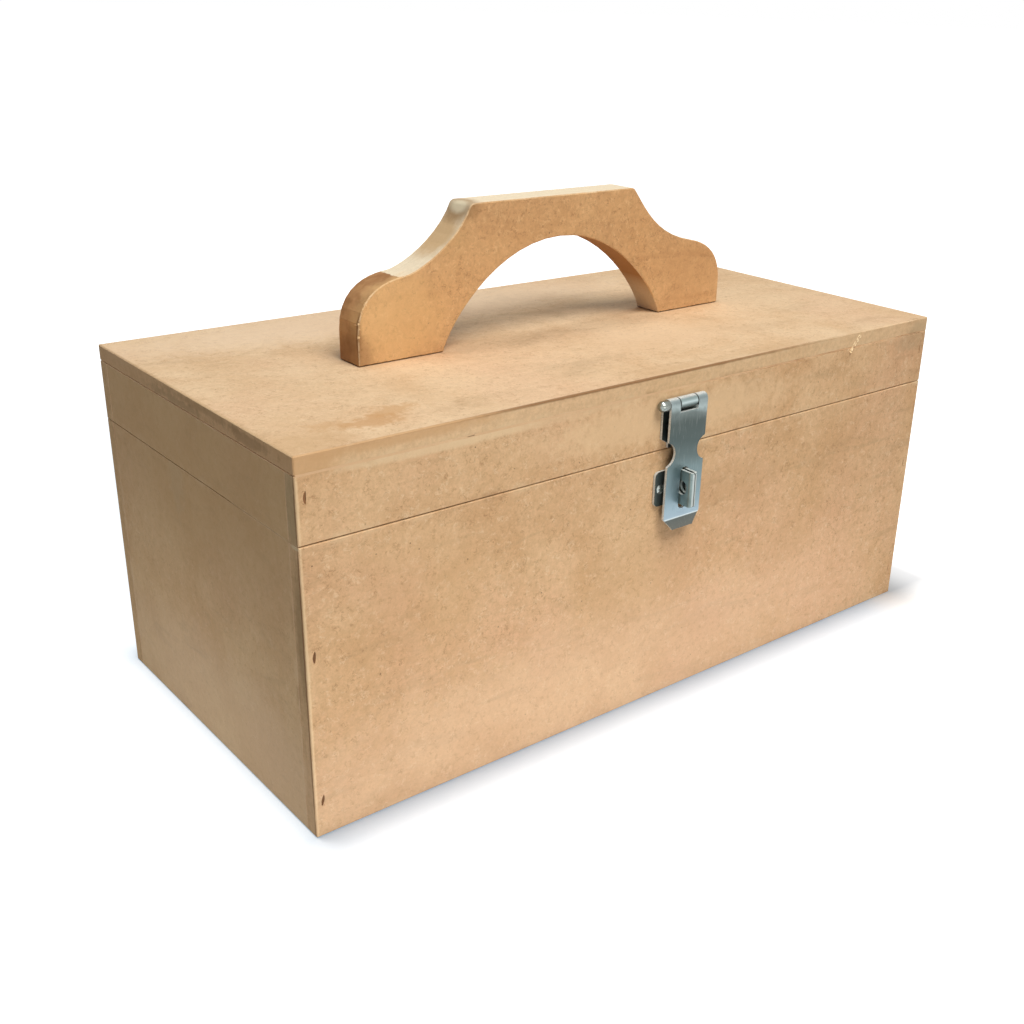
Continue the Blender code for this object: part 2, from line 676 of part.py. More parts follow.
def build_hasp_leaf(lid_axis):
    """The leaf fixed on the lid's front, with its one wide knuckle and two screws."""
    half, knuckle = HASP_LEAF_WIDTH / 2, HASP_WINDOW_WIDTH / 2 - FIT_GAP
    outline = mirrored(rolled_leaf(HASP_SHEET, HASP_BARREL, HASP_LEAF_REACH), flip_a=True)
    leaf = add("hasp_leaf", prism("hasp_leaf", outline, -half, half, "X"), "zinc", lid_axis,
               Matrix.Translation(HASP_AXIS))
    place = Matrix.Translation(HASP_AXIS)
    sides = [(knuckle_gap("leaf_gap", HASP_BARREL, knuckle, half + OVERRUN), place),
             (knuckle_gap("leaf_gap", HASP_BARREL, -half - OVERRUN, -knuckle), place)]
    carve(leaf, guide("hasp_leaf_gaps", gathered("hasp_leaf_gaps", sides)))
    carve(leaf, guide("hasp_leaf_foot", gathered("hasp_leaf_foot", [(leaf_foot_corners(), place)])))
    hole = screw_hole("hasp_screw_hole", PLATE_SCREW)
    holes = gathered("hasp_leaf_holes", [(hole, m) for m in hasp_screw_places()])
    carve(leaf, guide("hasp_leaf_holes", holes))
    screw = screw_mesh("hasp_screw", PLATE_SCREW)
    for hand, matrix in zip(("left", "right"), hasp_screw_places()):
        add("hasp_leaf_screw_" + hand, screw, "screw_zinc", lid_axis, matrix)


def flap_cuts():
    """Guide meshes of the flap, about its pin: side notches, foot corners, slot and knuckle window."""
    half, depth = FLAP_WIDTH / 2, HASP_BARREL + FLAP_TOE + OVERRUN
    outside = half + NOTCH_RADIUS - NOTCH_DEPTH
    foot = -FLAP_REACH - FLAP_TOE
    steps = []
    for hand, sign in (("left", -1), ("right", 1)):
        notch = arc((sign * outside, -NOTCH_DROP), NOTCH_RADIUS, 0, 360, ROUND_STEPS)[:-1]
        corner = [
            (sign * (half - FLAP_CHAMFER), foot - OVERRUN),
            (sign * (half + OVERRUN), foot - OVERRUN),
            (sign * (half + OVERRUN), FLAP_CHAMFER_RISE - FLAP_REACH),
            (sign * half, FLAP_CHAMFER_RISE - FLAP_REACH),
            (sign * (half - FLAP_CHAMFER), foot),
        ]
        steps.append(("flap_notch_" + hand, prism("flap_notch", notch, -depth, depth, "Y"), "DIFFERENCE"))
        steps.append(("flap_corner_" + hand, prism("flap_corner", corner, -depth, depth, "Y"), "DIFFERENCE"))
    slot_top = STAPLE_TOP - HASP_AXIS.z + SLOT_ROOM_ABOVE
    slot_bottom = -STAPLE_SWEEP - SLOT_ROOM_BELOW
    slot_half = STAPLE_TAB_HALF + SLOT_ROOM_SIDE
    slot = rounded_rectangle(slot_half, (slot_top - slot_bottom) / 2, slot_half - FIT_GAP,
                             (0, (slot_top + slot_bottom) / 2))
    window = block("flap_window", (-HASP_WINDOW_WIDTH / 2, -depth, -HASP_WINDOW_DROP),
                   (HASP_WINDOW_WIDTH / 2, depth, HASP_BARREL + OVERRUN))
    steps.append(("flap_slot", prism("flap_slot", slot, -depth, depth, "Y"), "DIFFERENCE"))
    steps.append(("flap_window", window, "DIFFERENCE"))
    return steps


def build_flap(flap_axis, lid_axis):
    """The swinging flap and the pin with its domed head."""
    half = FLAP_WIDTH / 2
    outline = rolled_leaf(HASP_SHEET, HASP_BARREL, FLAP_REACH, FLAP_TOE, FLAP_TOE_DEG, FLAP_BEND)
    sheet = shaped("hasp_flap", prism("hasp_flap", outline, -half, half, "X"), flap_cuts())
    lean = Matrix.Rotation(math.radians(FLAP_LEAN_DEG), 4, "X")
    add("hasp_flap", sheet, "zinc", flap_axis, Matrix.Translation(HASP_AXIS) @ lean)
    seat = half + FIT_GAP
    dome = arc((0, seat + PIN_HEAD_RIM), PIN_HEAD_RADIUS, 90, 0, CORNER_STEPS)
    profile = [(0, dome[0][1])] + dome[1:] + [
        (PIN_HEAD_RADIUS, seat), (HASP_PIN_RADIUS, seat), (HASP_PIN_RADIUS, -half), (0, -half),
    ]
    pin = turned("hasp_pin", profile, ROUND_STEPS)
    add("hasp_pin", pin, "zinc", lid_axis, facing(HASP_AXIS, Vector((-1, 0, 0))))


def staple_section():
    """Section of the folded strip in (x, y): flange, bend, tab wall, fold at the tip, and back."""
    back, face = -FIT_GAP, -FIT_GAP - HASP_SHEET
    inner, outer = STAPLE_TAB_SPLIT / 2, STAPLE_TAB_HALF
    half = STAPLE_PLATE_WIDTH / 2
    bend_a = outer + STAPLE_BEND
    bend_b = face - STAPLE_BEND
    fold = (0, outer - STAPLE_TAB_REACH)
    front_right = [(half, face)] + arc((bend_a, bend_b), STAPLE_BEND, 90, 180, CORNER_STEPS)
    tip = arc(fold, outer, 0, -180, 2 * CORNER_STEPS)
    front_left = [(-a, b) for a, b in reversed(front_right)]
    rear_left = [(-half, back)] + arc((-bend_a, bend_b), STAPLE_BEND + HASP_SHEET, 90, 0, CORNER_STEPS)
    crease = arc(fold, inner, -180, 0, CORNER_STEPS)
    rear_right = [(-a, b) for a, b in reversed(rear_left)]
    return front_right + tip + front_left + rear_left + crease + rear_right


def build_staple_plate():
    """The folded staple plate with its padlock hole, and its two screws."""
    half_height = STAPLE_PLATE_HEIGHT / 2
    section = [(a + HASP_OFFSET, b + FRONT) for a, b in staple_section()]
    plate = add("staple_plate", prism("staple_plate", section, STAPLE_BOTTOM, STAPLE_TOP, "Z"), "zinc")
    half = STAPLE_PLATE_WIDTH / 2
    reach = STAPLE_TAB_REACH + OVERRUN
    face_view = rounded_rectangle(half, half_height, STAPLE_PLATE_CORNER, (HASP_OFFSET, STAPLE_PLATE_CENTRE))
    carve(plate, guide("staple_plate_outline",
                       prism("staple_plate_outline", face_view, FRONT - reach, FRONT + OVERRUN, "Y")),
          "INTERSECT")
    side_view = rounded_rectangle(STAPLE_TAB_REACH, half_height, STAPLE_TAB_CORNER,
                                  (FRONT, STAPLE_PLATE_CENTRE))
    carve(plate, guide("staple_tab_outline",
                       prism("staple_tab_outline", side_view, HASP_OFFSET - half - OVERRUN,
                             HASP_OFFSET + half + OVERRUN, "X")), "INTERSECT")
    bore = arc((FRONT - PADLOCK_HOLE_REACH, STAPLE_PLATE_CENTRE), PADLOCK_HOLE_RADIUS, 0, 360, ROUND_STEPS)
    carve(plate, guide("padlock_hole",
                       prism("padlock_hole", bore[:-1], HASP_OFFSET - PADLOCK_HOLE_RADIUS,
                             HASP_OFFSET + PADLOCK_HOLE_RADIUS, "X")))
    hole = screw_hole("staple_screw_hole", PLATE_SCREW)
    holes = gathered("staple_plate_holes", [(hole, m) for m in staple_screw_places()])
    carve(plate, guide("staple_plate_holes", holes))
    screw = screw_mesh("staple_screw", PLATE_SCREW)
    for hand, matrix in zip(("left", "right"), staple_screw_places()):
        add("staple_plate_screw_" + hand, screw, "screw_zinc", None, matrix)


def settle_shapes():
    """Makes every cut part of its piece, removes the guides and lets round faces read as round."""
    nodes = [thing for thing in bpy.data.objects if thing.type == "MESH" and not thing.hide_render]
    graph = bpy.context.evaluated_depsgraph_get()
    for node in nodes:
        if node.modifiers:
            node.data = bpy.data.meshes.new_from_object(node.evaluated_get(graph))
            node.modifiers.clear()
            node.data.name = node.name
            node.data.set_sharp_from_angle(angle=math.radians(SHARP_DEG))
        weighted = node.modifiers.new("face_weighted_normals", "WEIGHTED_NORMAL")
        weighted.keep_sharp = True
    for thing in list(bpy.data.objects):
        if thing.type == "MESH" and thing.hide_render:
            bpy.data.objects.remove(thing, do_unlink=True)


def build():
    """Builds the whole box."""
    clear_scene()
    lid_axis = axis_empty("lid_axis", HINGE_AXIS)
    flap_axis = axis_empty("flap_axis", HASP_AXIS, lid_axis)
    build_case(lid_axis)
    build_wire_staples(lid_axis)
    build_handle(lid_axis)
    build_hinges(lid_axis)
    build_hasp_leaf(lid_axis)
    build_flap(flap_axis, lid_axis)
    build_staple_plate()
    settle_shapes()


build()
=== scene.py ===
"""Wooden suitcase box: a fibreboard case with a hinged lid, an arched handle and a folding hasp.

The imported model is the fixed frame. Each sub-assembly is a class that builds the small pieces that
the solids leave out, such as glue lines and torn fibres, and dresses its solids with procedural
finishes. Lengths are in metres, and colours are on the screen's scale from 0 to 255.
"""
import logging
import math
from dataclasses import dataclass, field
from enum import Enum
from functools import reduce
from typing import Callable, Iterable, Sequence

import bmesh
import bpy
import numpy as np
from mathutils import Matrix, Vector


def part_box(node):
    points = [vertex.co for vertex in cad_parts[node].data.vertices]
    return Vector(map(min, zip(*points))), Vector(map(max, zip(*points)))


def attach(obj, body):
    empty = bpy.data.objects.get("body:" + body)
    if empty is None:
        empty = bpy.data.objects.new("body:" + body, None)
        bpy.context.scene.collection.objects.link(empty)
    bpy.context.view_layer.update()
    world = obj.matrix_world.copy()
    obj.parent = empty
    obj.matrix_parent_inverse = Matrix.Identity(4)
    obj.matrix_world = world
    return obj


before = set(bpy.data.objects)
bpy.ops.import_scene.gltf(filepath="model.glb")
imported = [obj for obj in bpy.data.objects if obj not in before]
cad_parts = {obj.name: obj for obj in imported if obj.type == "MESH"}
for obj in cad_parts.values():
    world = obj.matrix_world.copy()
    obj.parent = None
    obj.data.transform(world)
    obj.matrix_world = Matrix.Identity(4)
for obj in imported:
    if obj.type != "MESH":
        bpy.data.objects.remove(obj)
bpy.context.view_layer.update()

LOG = logging.getLogger("suitcase_box")
MM = 0.001
Colour = tuple[float, float, float]
Point = tuple[float, float, float]
Range = tuple[float, float]
Mesh = bmesh.types.BMesh
Material = bpy.types.Material
Thing = bpy.types.Object
Chance = np.random.Generator
Socket = bpy.types.NodeSocket
Outputs = bpy.types.NodeOutputs
Feed = float | tuple | Socket
WHITE = (1.0, 1.0, 1.0, 1.0)
SKIN = (0.35 * MM, 0.7 * MM)  # depth at which a board's pressed skin gives way to its sawn edge


class Body(Enum):
    """The bodies of the frame that the new pieces ride on."""

    CARCASS = "carcass"
    LID = "lid"


class Slot(Enum):
    """The record's material slots that the new pieces take their finish from."""

    BOARD = "board"
    HANDLE = "handle_board"


class Axis(Enum):
    """The direction across a board's thickness."""

    X = (1.0, 0.0, 0.0)
    Y = (0.0, 1.0, 0.0)
    Z = (0.0, 0.0, 1.0)


class Effect(Enum):
    """The shared node groups: their vector inputs, number inputs and outputs, all by name."""

    EDGES = ("board_edges", "Position Centre Half Across", "", "Distance Sawn")
    STRANDS = ("fibre_strands", "Position", "Scale Width Cover", "Mask")
    CLOUD = ("fibreboard_cloud", "Position", "Size", "Broad Fine Smear")
    LAYERS = ("pressed_layers", "Position Across", "", "Layer Saw")
    PATCH = ("soft_patch", "Position Centre Size", "Ragged", "Mask")
    PLATING = ("zinc_plating", "Position", "", "Cloud Grain Scratch")


def linear(colour: Colour) -> tuple[float, float, float, float]:
    """Turns a screen colour, from 0 to 255, into a linear one with an alpha of 1."""
    shares = [c / 255 for c in colour]
    return (*(s / 12.92 if s <= 0.04045 else ((s + 0.055) / 1.055) ** 2.4 for s in shares), 1.0)


class Tree:
    """Adds nodes to one shader tree and links their sockets."""

    def __init__(self, tree: bpy.types.ShaderNodeTree, place: Socket | None = None) -> None:
        """Keeps the tree, the position that its effects read and room for the normal."""
        self.tree = tree
        self.place = place
        self.normal: Socket | None = None

    def add(self, kind: str, inputs: dict | None = None, **settings: object) -> bpy.types.Node:
        """Adds one node.

        Args:
            kind: The node's type, without its ShaderNode prefix.
            inputs: A socket to link, or a number or tuple to set, by each input's name or number.
            **settings: Properties of the node.

        Returns:
            The node.
        """
        node = self.tree.nodes.new("ShaderNode" + kind)
        for name, value in settings.items():
            setattr(node, name, value)
        for key, value in (inputs or {}).items():
            if isinstance(value, Socket):
                self.tree.links.new(value, node.inputs[key])
            else:
                node.inputs[key].default_value = value
        return node

    def math(self, operation: str, *values: Feed) -> Socket:
        """Combines numbers with a Math node."""
        return self.add("Math", dict(enumerate(values)), operation=operation).outputs[0]

    def times(self, *values: Feed) -> Socket:
        """Multiplies numbers, from the first to the last."""
        return reduce(lambda first, second: self.math("MULTIPLY", first, second), values)

    def vector(self, operation: str, *values: Feed, result: str = "Vector") -> Socket:
        """Combines vectors with a Vector Math node."""
        node = self.add("VectorMath", dict(enumerate(values)), operation=operation)
        return node.outputs[result]

    def dot(self, first: Feed, second: Feed) -> Socket:
        """The dot product of two vectors."""
        return self.vector("DOT_PRODUCT", first, second, result="Value")

    def length(self, vector: Feed) -> Socket:
        """A vector's length."""
        return self.vector("LENGTH", vector, result="Value")

    def axes(self, vector: Feed) -> Outputs:
        """A vector's X, Y and Z."""
        return self.add("SeparateXYZ", {0: vector}).outputs

    def step(self, value: Feed, low: float, high: float, start: float = 0.0,
             end: float = 1.0) -> Socket:
        """Maps a value smoothly from low and high to start and end, and holds it beyond."""
        inputs = {"Value": value, "From Min": low, "From Max": high, "To Min": start, "To Max": end}
        return self.add("MapRange", inputs, interpolation_type="SMOOTHSTEP").outputs["Result"]

    def mix(self, share: Feed, first: Feed, second: Feed, blend: str = "MIX") -> Socket:
        """Lays a share of the second colour on the first."""
        how = {"data_type": "RGBA", "blend_type": blend, "clamp_factor": True}
        return self.add("Mix", {0: share, 6: first, 7: second}, **how).outputs[2]

    def blend(self, share: Feed, first: Feed, second: Feed) -> Socket:
        """Mixes two numbers."""
        inputs = {"Factor": share, 2: first, 3: second}
        return self.add("Mix", inputs, data_type="FLOAT").outputs[0]

    def paint(self, colour: Socket, mask: Feed, share: Feed, over: Colour) -> Socket:
        """Lays a screen colour over another, as far as a mask times a share."""
        return self.mix(self.times(mask, share), colour, linear(over))

    def tone(self, colour: Socket, mask: Feed, share: float, low: Point, high: Point) -> Socket:
        """Multiplies a colour, to a share, by a linear tone that a mask picks between two."""
        return self.mix(share, colour, self.mix(mask, (*low, 1.0), (*high, 1.0)), "MULTIPLY")

    def noise(self, scale: Feed, detail: float = 3.0, rough: float = 0.6, bend: float = 0.0,
              at: Socket | None = None) -> Socket:
        """Reads a noise, with scale as cells in a metre, at the tree's place or another."""
        inputs = {"Vector": self.place if at is None else at, "Scale": scale, "Detail": detail,
                  "Roughness": rough, "Distortion": bend}
        return self.add("TexNoise", inputs).outputs["Fac"]

    def effect(self, effect: Effect, **inputs: Feed) -> Outputs:
        """Places a shared node group, which reads the tree's place unless told another."""
        group = bpy.data.node_groups[effect.value[0]]
        return self.add("Group", {"Position": self.place, **inputs}, node_tree=group).outputs

    def surface(self, colour: Feed, rough: Feed, height: Feed, bump: Range, **more: Feed) -> None:
        """Adds the shader, its bump and the material's output.

        Args:
            colour: The base colour.
            rough: The roughness.
            height: The height that the bump follows.
            bump: The bump's strength and its distance.
            **more: What the shader's other inputs get.
        """
        normal = self.add("Bump", {"Strength": bump[0], "Distance": bump[1], "Height": height})
        shader = self.add("BsdfPrincipled", {"Base Color": colour, "Roughness": rough,
                                             "Normal": normal.outputs[0], **more})
        self.add("OutputMaterial", {0: shader.outputs[0]})


class Effects:
    """Builds the shared shader node groups, each once."""

    def build(self) -> None:
        """Builds every group."""
        bodies = (self._edges, self._strands, self._cloud, self._layers, self._patch, self._plating)
        for effect, body in zip(Effect, bodies):
            self._group(*effect.value, body)

    @staticmethod
    def _group(name: str, vectors: str, numbers: str, results: str, body: Callable) -> None:
        """Builds one node group.

        Args:
            name: Its name.
            vectors: Names of the vector inputs, with the position.
            numbers: Names of the number inputs.
            results: Names of the outputs, which are numbers.
            body: Adds the nodes and returns the results' sockets in order.
        """
        tree = bpy.data.node_groups.new(name, "ShaderNodeTree")
        for way, kind, names in (("INPUT", "Vector", vectors), ("INPUT", "Float", numbers),
                                 ("OUTPUT", "Float", results)):
            for socket in names.split():
                tree.interface.new_socket(socket, in_out=way, socket_type="NodeSocket" + kind)
        given = tree.nodes.new("NodeGroupInput").outputs
        leave = tree.nodes.new("NodeGroupOutput")
        for result, socket in zip(body(Tree(tree, given["Position"]), given), leave.inputs):
            tree.links.new(result, socket)

    @staticmethod
    def _edges(t: Tree, given: Outputs) -> tuple[Socket, ...]:
        """Distance to the nearest edge of a board's face, and where the surface is sawn.

        Args:
            t: The group's tree.
            given: The group's inputs.

        Returns:
            The distance and the sawn share.
        """
        away = t.vector("ABSOLUTE", t.vector("SUBTRACT", t.place, given["Centre"]))
        room = t.vector("SUBTRACT", given["Half"], away)
        parts = t.axes(room)
        low = t.math("MINIMUM", parts["X"], parts["Y"])
        high = t.math("MAXIMUM", parts["X"], parts["Y"])
        distance = t.math("MAXIMUM", low, t.math("MINIMUM", high, parts["Z"]))
        return distance, t.step(t.dot(room, given["Across"]), *SKIN)

    @staticmethod
    def _strands(t: Tree, given: Outputs) -> tuple[Socket, ...]:
        """Short curved fibres, as broken contour lines of a noise.

        Args:
            t: The group's tree.
            given: The group's inputs.

        Returns:
            The fibres.
        """
        contour = t.noise(given["Scale"], 2.0, 0.6, 0.6)
        line = t.math("ABSOLUTE", t.math("SUBTRACT", contour, 0.5))
        thin = t.math("SUBTRACT", 1.0, t.math("DIVIDE", line, given["Width"]))
        moved = t.vector("ADD", t.place, (0.37, 0.11, 0.73))
        breaks = t.noise(t.times(given["Scale"], 0.8), 1.0, 0.5, at=moved)
        kept = t.times(t.math("SUBTRACT", breaks, given["Cover"]), 8.0)
        shown = t.math("MINIMUM", t.math("MAXIMUM", kept, 0.0), 1.0)
        return (t.times(t.math("MAXIMUM", thin, 0.0), shown),)

    @staticmethod
    def _cloud(t: Tree, given: Outputs) -> tuple[Socket, ...]:
        """Broad and fine unevenness of the pressed face, and long faint smears.

        Args:
            t: The group's tree.
            given: The group's inputs.

        Returns:
            The three, in that order.
        """
        rate = t.math("DIVIDE", 1.0, given["Size"])
        broad = t.noise(rate, 3.0, 0.55, 0.4)
        fine = t.noise(t.times(rate, 22.0), 4.0, 0.62, 0.3)
        drawn = t.vector("MULTIPLY", t.place, (0.28, 0.6, 1.6))
        smear = t.noise(t.times(rate, 2.2), 4.0, 0.6, 0.8, drawn)
        return t.step(broad, 0.3, 0.7), t.step(fine, 0.28, 0.72), t.step(smear, 0.52, 0.78)

    @staticmethod
    def _layers(t: Tree, given: Outputs) -> tuple[Socket, ...]:
        """Layers of a sawn edge: fast across the thickness, slow along it, with saw marks.

        Args:
            t: The group's tree.
            given: The group's inputs.

        Returns:
            The layers and the saw marks.
        """
        across = given["Across"]
        depth = t.dot(t.place, across)
        depths = t.add("CombineXYZ", {0: depth, 1: depth, 2: depth}).outputs[0]
        flat = t.vector("SUBTRACT", t.place, t.vector("MULTIPLY", across, depths))
        slow = t.vector("MULTIPLY", flat, (110.0, 110.0, 110.0))
        fast = t.vector("MULTIPLY", t.place, t.vector("MULTIPLY", across, (900.0, 900.0, 900.0)))
        layer = t.noise(1.0, 4.0, 0.65, at=t.vector("ADD", slow, fast))
        return t.step(layer, 0.32, 0.68), t.step(t.noise(650.0, at=flat), 0.35, 0.7)

    @staticmethod
    def _patch(t: Tree, given: Outputs) -> tuple[Socket, ...]:
        """A soft-edged mark with a ragged outline.

        Args:
            t: The group's tree.
            given: The group's inputs.

        Returns:
            The mark.
        """
        away = t.vector("SUBTRACT", t.place, given["Centre"])
        reach = t.length(t.vector("DIVIDE", away, given["Size"]))
        ragged = t.math("SUBTRACT", t.noise(160.0, 5.0, 0.65, 0.5), 0.5)
        reach = t.math("ADD", reach, t.times(ragged, given["Ragged"]))
        return (t.step(reach, 0.35, 1.0, 1.0, 0.0),)

    @staticmethod
    def _plating(t: Tree, given: Outputs) -> tuple[Socket, ...]:
        """Clouded zinc plating with fine grain and hairline scratches.

        Args:
            t: The group's tree.
            given: The group's inputs, which it does not use.

        Returns:
            The cloud, the grain and the scratches.
        """
        cloud = t.step(t.noise(120.0, 3.0, 0.5, 0.4), 0.3, 0.7)
        drawn = t.vector("MULTIPLY", t.place, (2600.0, 2600.0, 120.0))
        scratch = t.step(t.noise(1.0, 2.0, 0.5, at=drawn), 0.62, 0.72)
        return cloud, t.noise(1800.0), scratch


def new_material(name: str) -> tuple[Material, Tree]:
    """Makes an empty node material.

    Args:
        name: The material's name.

    Returns:
        The material and its tree.
    """
    material = bpy.data.materials.new(name)
    material.use_nodes = True
    material.node_tree.nodes.clear()
    t = Tree(material.node_tree)
    spots = t.add("TexCoord").outputs
    t.place, t.normal = spots["Object"], spots["Normal"]
    return material, t


@dataclass(frozen=True)
class Patch:
    """One soft mark on a board: its place and size, its colour and how ragged it is."""

    centre: Point
    size: Point
    colour: Colour
    strength: float
    ragged: float


def marks(*rows: tuple) -> tuple[Patch, ...]:
    """Makes marks from rows: centre and size in millimetres, colour, strength, raggedness."""
    return tuple(Patch(tuple(v * MM for v in row[:3]), tuple(v * MM for v in row[3:6]), *row[6:])
                 for row in rows)


@dataclass(frozen=True)
class BoardFinish:
    """Raw fibreboard: a smooth pressed face and rough sawn edges."""

    light: Colour = (228, 190, 146)
    dark: Colour = (214, 172, 127)
    blush: Colour = (224, 178, 140)
    strand_dark: Colour = (150, 98, 54)
    strand_light: Colour = (245, 218, 178)
    speck: Colour = (96, 62, 38)
    smear: Colour = (178, 145, 108)
    core: Colour = (217, 182, 138)
    core_dark: Colour = (192, 154, 112)
    arris: Colour = (240, 212, 172)
    dust: Colour = (230, 200, 158)
    grime: Colour = (168, 128, 88)
    roughness: float = 0.82
    contrast: float = 1.0
    layering: float = 0.4
    tufts: float = 0.5
    sawn_share: float = 1.0
    cloud_size: float = 0.045
    specular: float = 0.3
    bump: Range = (0.4, 0.06 * MM)
    dirt_reach: Range = (0.4 * MM, 4 * MM)
    wear_reach: float = 0.9 * MM
    wear_fade: Range = (-0.1 * MM, 0.3 * MM)

    def face(self, t: Tree) -> tuple[Socket, Socket]:
        """Colours the pressed face.

        Args:
            t: The material's tree.

        Returns:
            The face's colour and its fibres as a height.
        """
        cloud = t.effect(Effect.CLOUD, Size=self.cloud_size)
        colour = t.mix(cloud["Broad"], linear(self.light), linear(self.dark))
        drift = t.step(t.noise(9.0, 2.0, 0.5), 0.45, 0.7, 0.0, 0.55)
        colour = t.mix(drift, colour, linear(self.blush))
        colour = t.paint(colour, cloud["Smear"], 0.4, self.smear)
        mottle = t.step(t.noise(230.0, 3.0, 0.6, 0.8), 0.3, 0.7)
        grain = t.noise(800.0, 3.0, 0.75)
        for mask, share, low, high in (
                (mottle, 0.6, (0.90, 0.885, 0.86), (1.07, 1.075, 1.085)),
                (grain, 0.75, (0.74, 0.72, 0.68), (1.27, 1.28, 1.29))):
            colour = t.tone(colour, mask, share * self.contrast, low, high)
        crowd = t.step(t.noise(90.0, 4.0, 0.65), 0.40, 0.66, 0.2, 1.0)
        flecks = t.times(t.step(t.noise(520.0, 5.0, 0.8, 0.5), 0.54, 0.68), crowd)
        aside = t.vector("ADD", t.place, (0.5, 0.5, 0.5))
        long, short, pale = (
            t.effect(Effect.STRANDS, Position=spot, Scale=scale, Width=width, Cover=cover)["Mask"]
            for spot, scale, width, cover in (
                (t.place, 330.0, 0.055, 0.53), (t.place, 620.0, 0.08, 0.5), (aside, 300.0, 0.06, 0.54)))
        dots = t.add("TexVoronoi", {"Vector": t.place, "Scale": 210.0}, feature="F1").outputs
        chosen = t.step(t.add("SeparateColor", {0: dots["Color"]}).outputs[0], 0.9, 0.94)
        speck = t.times(t.step(dots["Distance"], 0.04, 0.12, 1.0, 0.0), chosen)
        for mask, share, over in (
                (flecks, 0.24, self.strand_dark), (long, 0.42, self.strand_dark),
                (t.times(short, crowd), 0.32, self.strand_dark), (pale, 0.45, self.strand_light),
                (speck, 0.8, self.speck)):
            colour = t.paint(colour, mask, share * self.contrast, over)
        height = t.math("ADD", t.times(pale, 0.6), t.times(grain, 0.5))
        dips = t.math("ADD", t.math("ADD", long, short), flecks)
        return colour, t.math("SUBTRACT", height, t.times(dips, 0.3))

    def sawn(self, t: Tree, across: Axis) -> tuple[Socket, Socket]:
        """Colours a sawn edge.

        Args:
            t: The material's tree.
            across: The direction across the board's thickness.

        Returns:
            The edge's colour and its height.
        """
        layers = t.effect(Effect.LAYERS, Across=across.value)
        depth = t.times(layers["Layer"], self.layering)
        colour = t.mix(depth, linear(self.core), linear(self.core_dark))
        tufts = t.step(t.noise(420.0, 4.0, 0.7), 0.3, 0.7)
        for mask, share, low, high in (
                (t.noise(1500.0, 3.0, 0.7), 0.6, (0.75, 0.74, 0.72), (1.2, 1.2, 1.18)),
                (tufts, self.tufts, (0.80, 0.78, 0.74), (1.12, 1.12, 1.11))):
            colour = t.tone(colour, mask, share, low, high)
        return colour, t.math("ADD", t.times(layers["Layer"], 0.8), layers["Saw"])

    def marked(self, t: Tree, colour: Socket, patches: Sequence[Patch]) -> Socket:
        """Lays soft marks over a colour.

        Args:
            t: The material's tree.
            colour: The colour under the marks.
            patches: The marks.

        Returns:
            The marked colour.
        """
        for patch in patches:
            mask = t.effect(Effect.PATCH, Centre=patch.centre, Size=patch.size,
                            Ragged=patch.ragged)["Mask"]
            colour = t.paint(colour, mask, patch.strength, patch.colour)
        return colour

    def finish(self, t: Tree, colour: Socket, height: Socket, sawn: Feed) -> None:
        """Adds the shader, with roughness and bump, to a material.

        Args:
            t: The material's tree.
            colour: The base colour.
            height: The height of the fibres.
            sawn: Where the surface is sawn.
        """
        smooth, coarse = self.roughness - 0.07, self.roughness + 0.05
        rough = t.step(t.noise(260.0), 0.3, 0.7, smooth, coarse)
        rough = t.math("ADD", rough, t.times(sawn, 0.1))
        gloss = {"Specular IOR Level": self.specular}
        t.surface(colour, rough, height, self.bump, **gloss)

    def board(self, name: str, node: str, across: Axis, patches: Sequence[Patch] = ()) -> Material:
        """Makes the material of one flat board.

        Args:
            name: The material's name.
            node: The board's node, whose box places its edges.
            across: The direction across its thickness.
            patches: Marks on it.

        Returns:
            The material.
        """
        low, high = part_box(node)
        material, t = new_material(name)
        edges = t.effect(Effect.EDGES, Centre=tuple((low + high) / 2),
                         Half=tuple((high - low) / 2), Across=across.value)
        face, face_height = self.face(t)
        core, core_height = self.sawn(t, across)
        colour = t.mix(t.times(edges["Sawn"], self.sawn_share), face, core)
        near = t.step(edges["Distance"], *self.dirt_reach, 1.0, 0.0)
        dirt = t.noise(60.0, 4.0, 0.65)
        colour = t.paint(colour, near, t.step(dirt, 0.52, 0.7, 0.0, 0.45), self.grime)
        colour = t.paint(colour, near, t.step(dirt, 0.36, 0.5, 0.5, 0.0), self.dust)
        reach = t.times(t.step(t.noise(190.0, 4.0, 0.7), 0.4, 0.8), self.wear_reach)
        reach = t.math("SUBTRACT", edges["Distance"], reach)
        worn = t.step(reach, *self.wear_fade, 1.0, 0.0)
        rubbed = t.step(t.noise(30.0), 0.44, 0.64, 0.1, 0.75)
        colour = t.paint(colour, worn, rubbed, self.arris)
        colour = self.marked(t, colour, patches)
        height = t.blend(edges["Sawn"], face_height, core_height)
        self.finish(t, colour, height, edges["Sawn"])
        return material


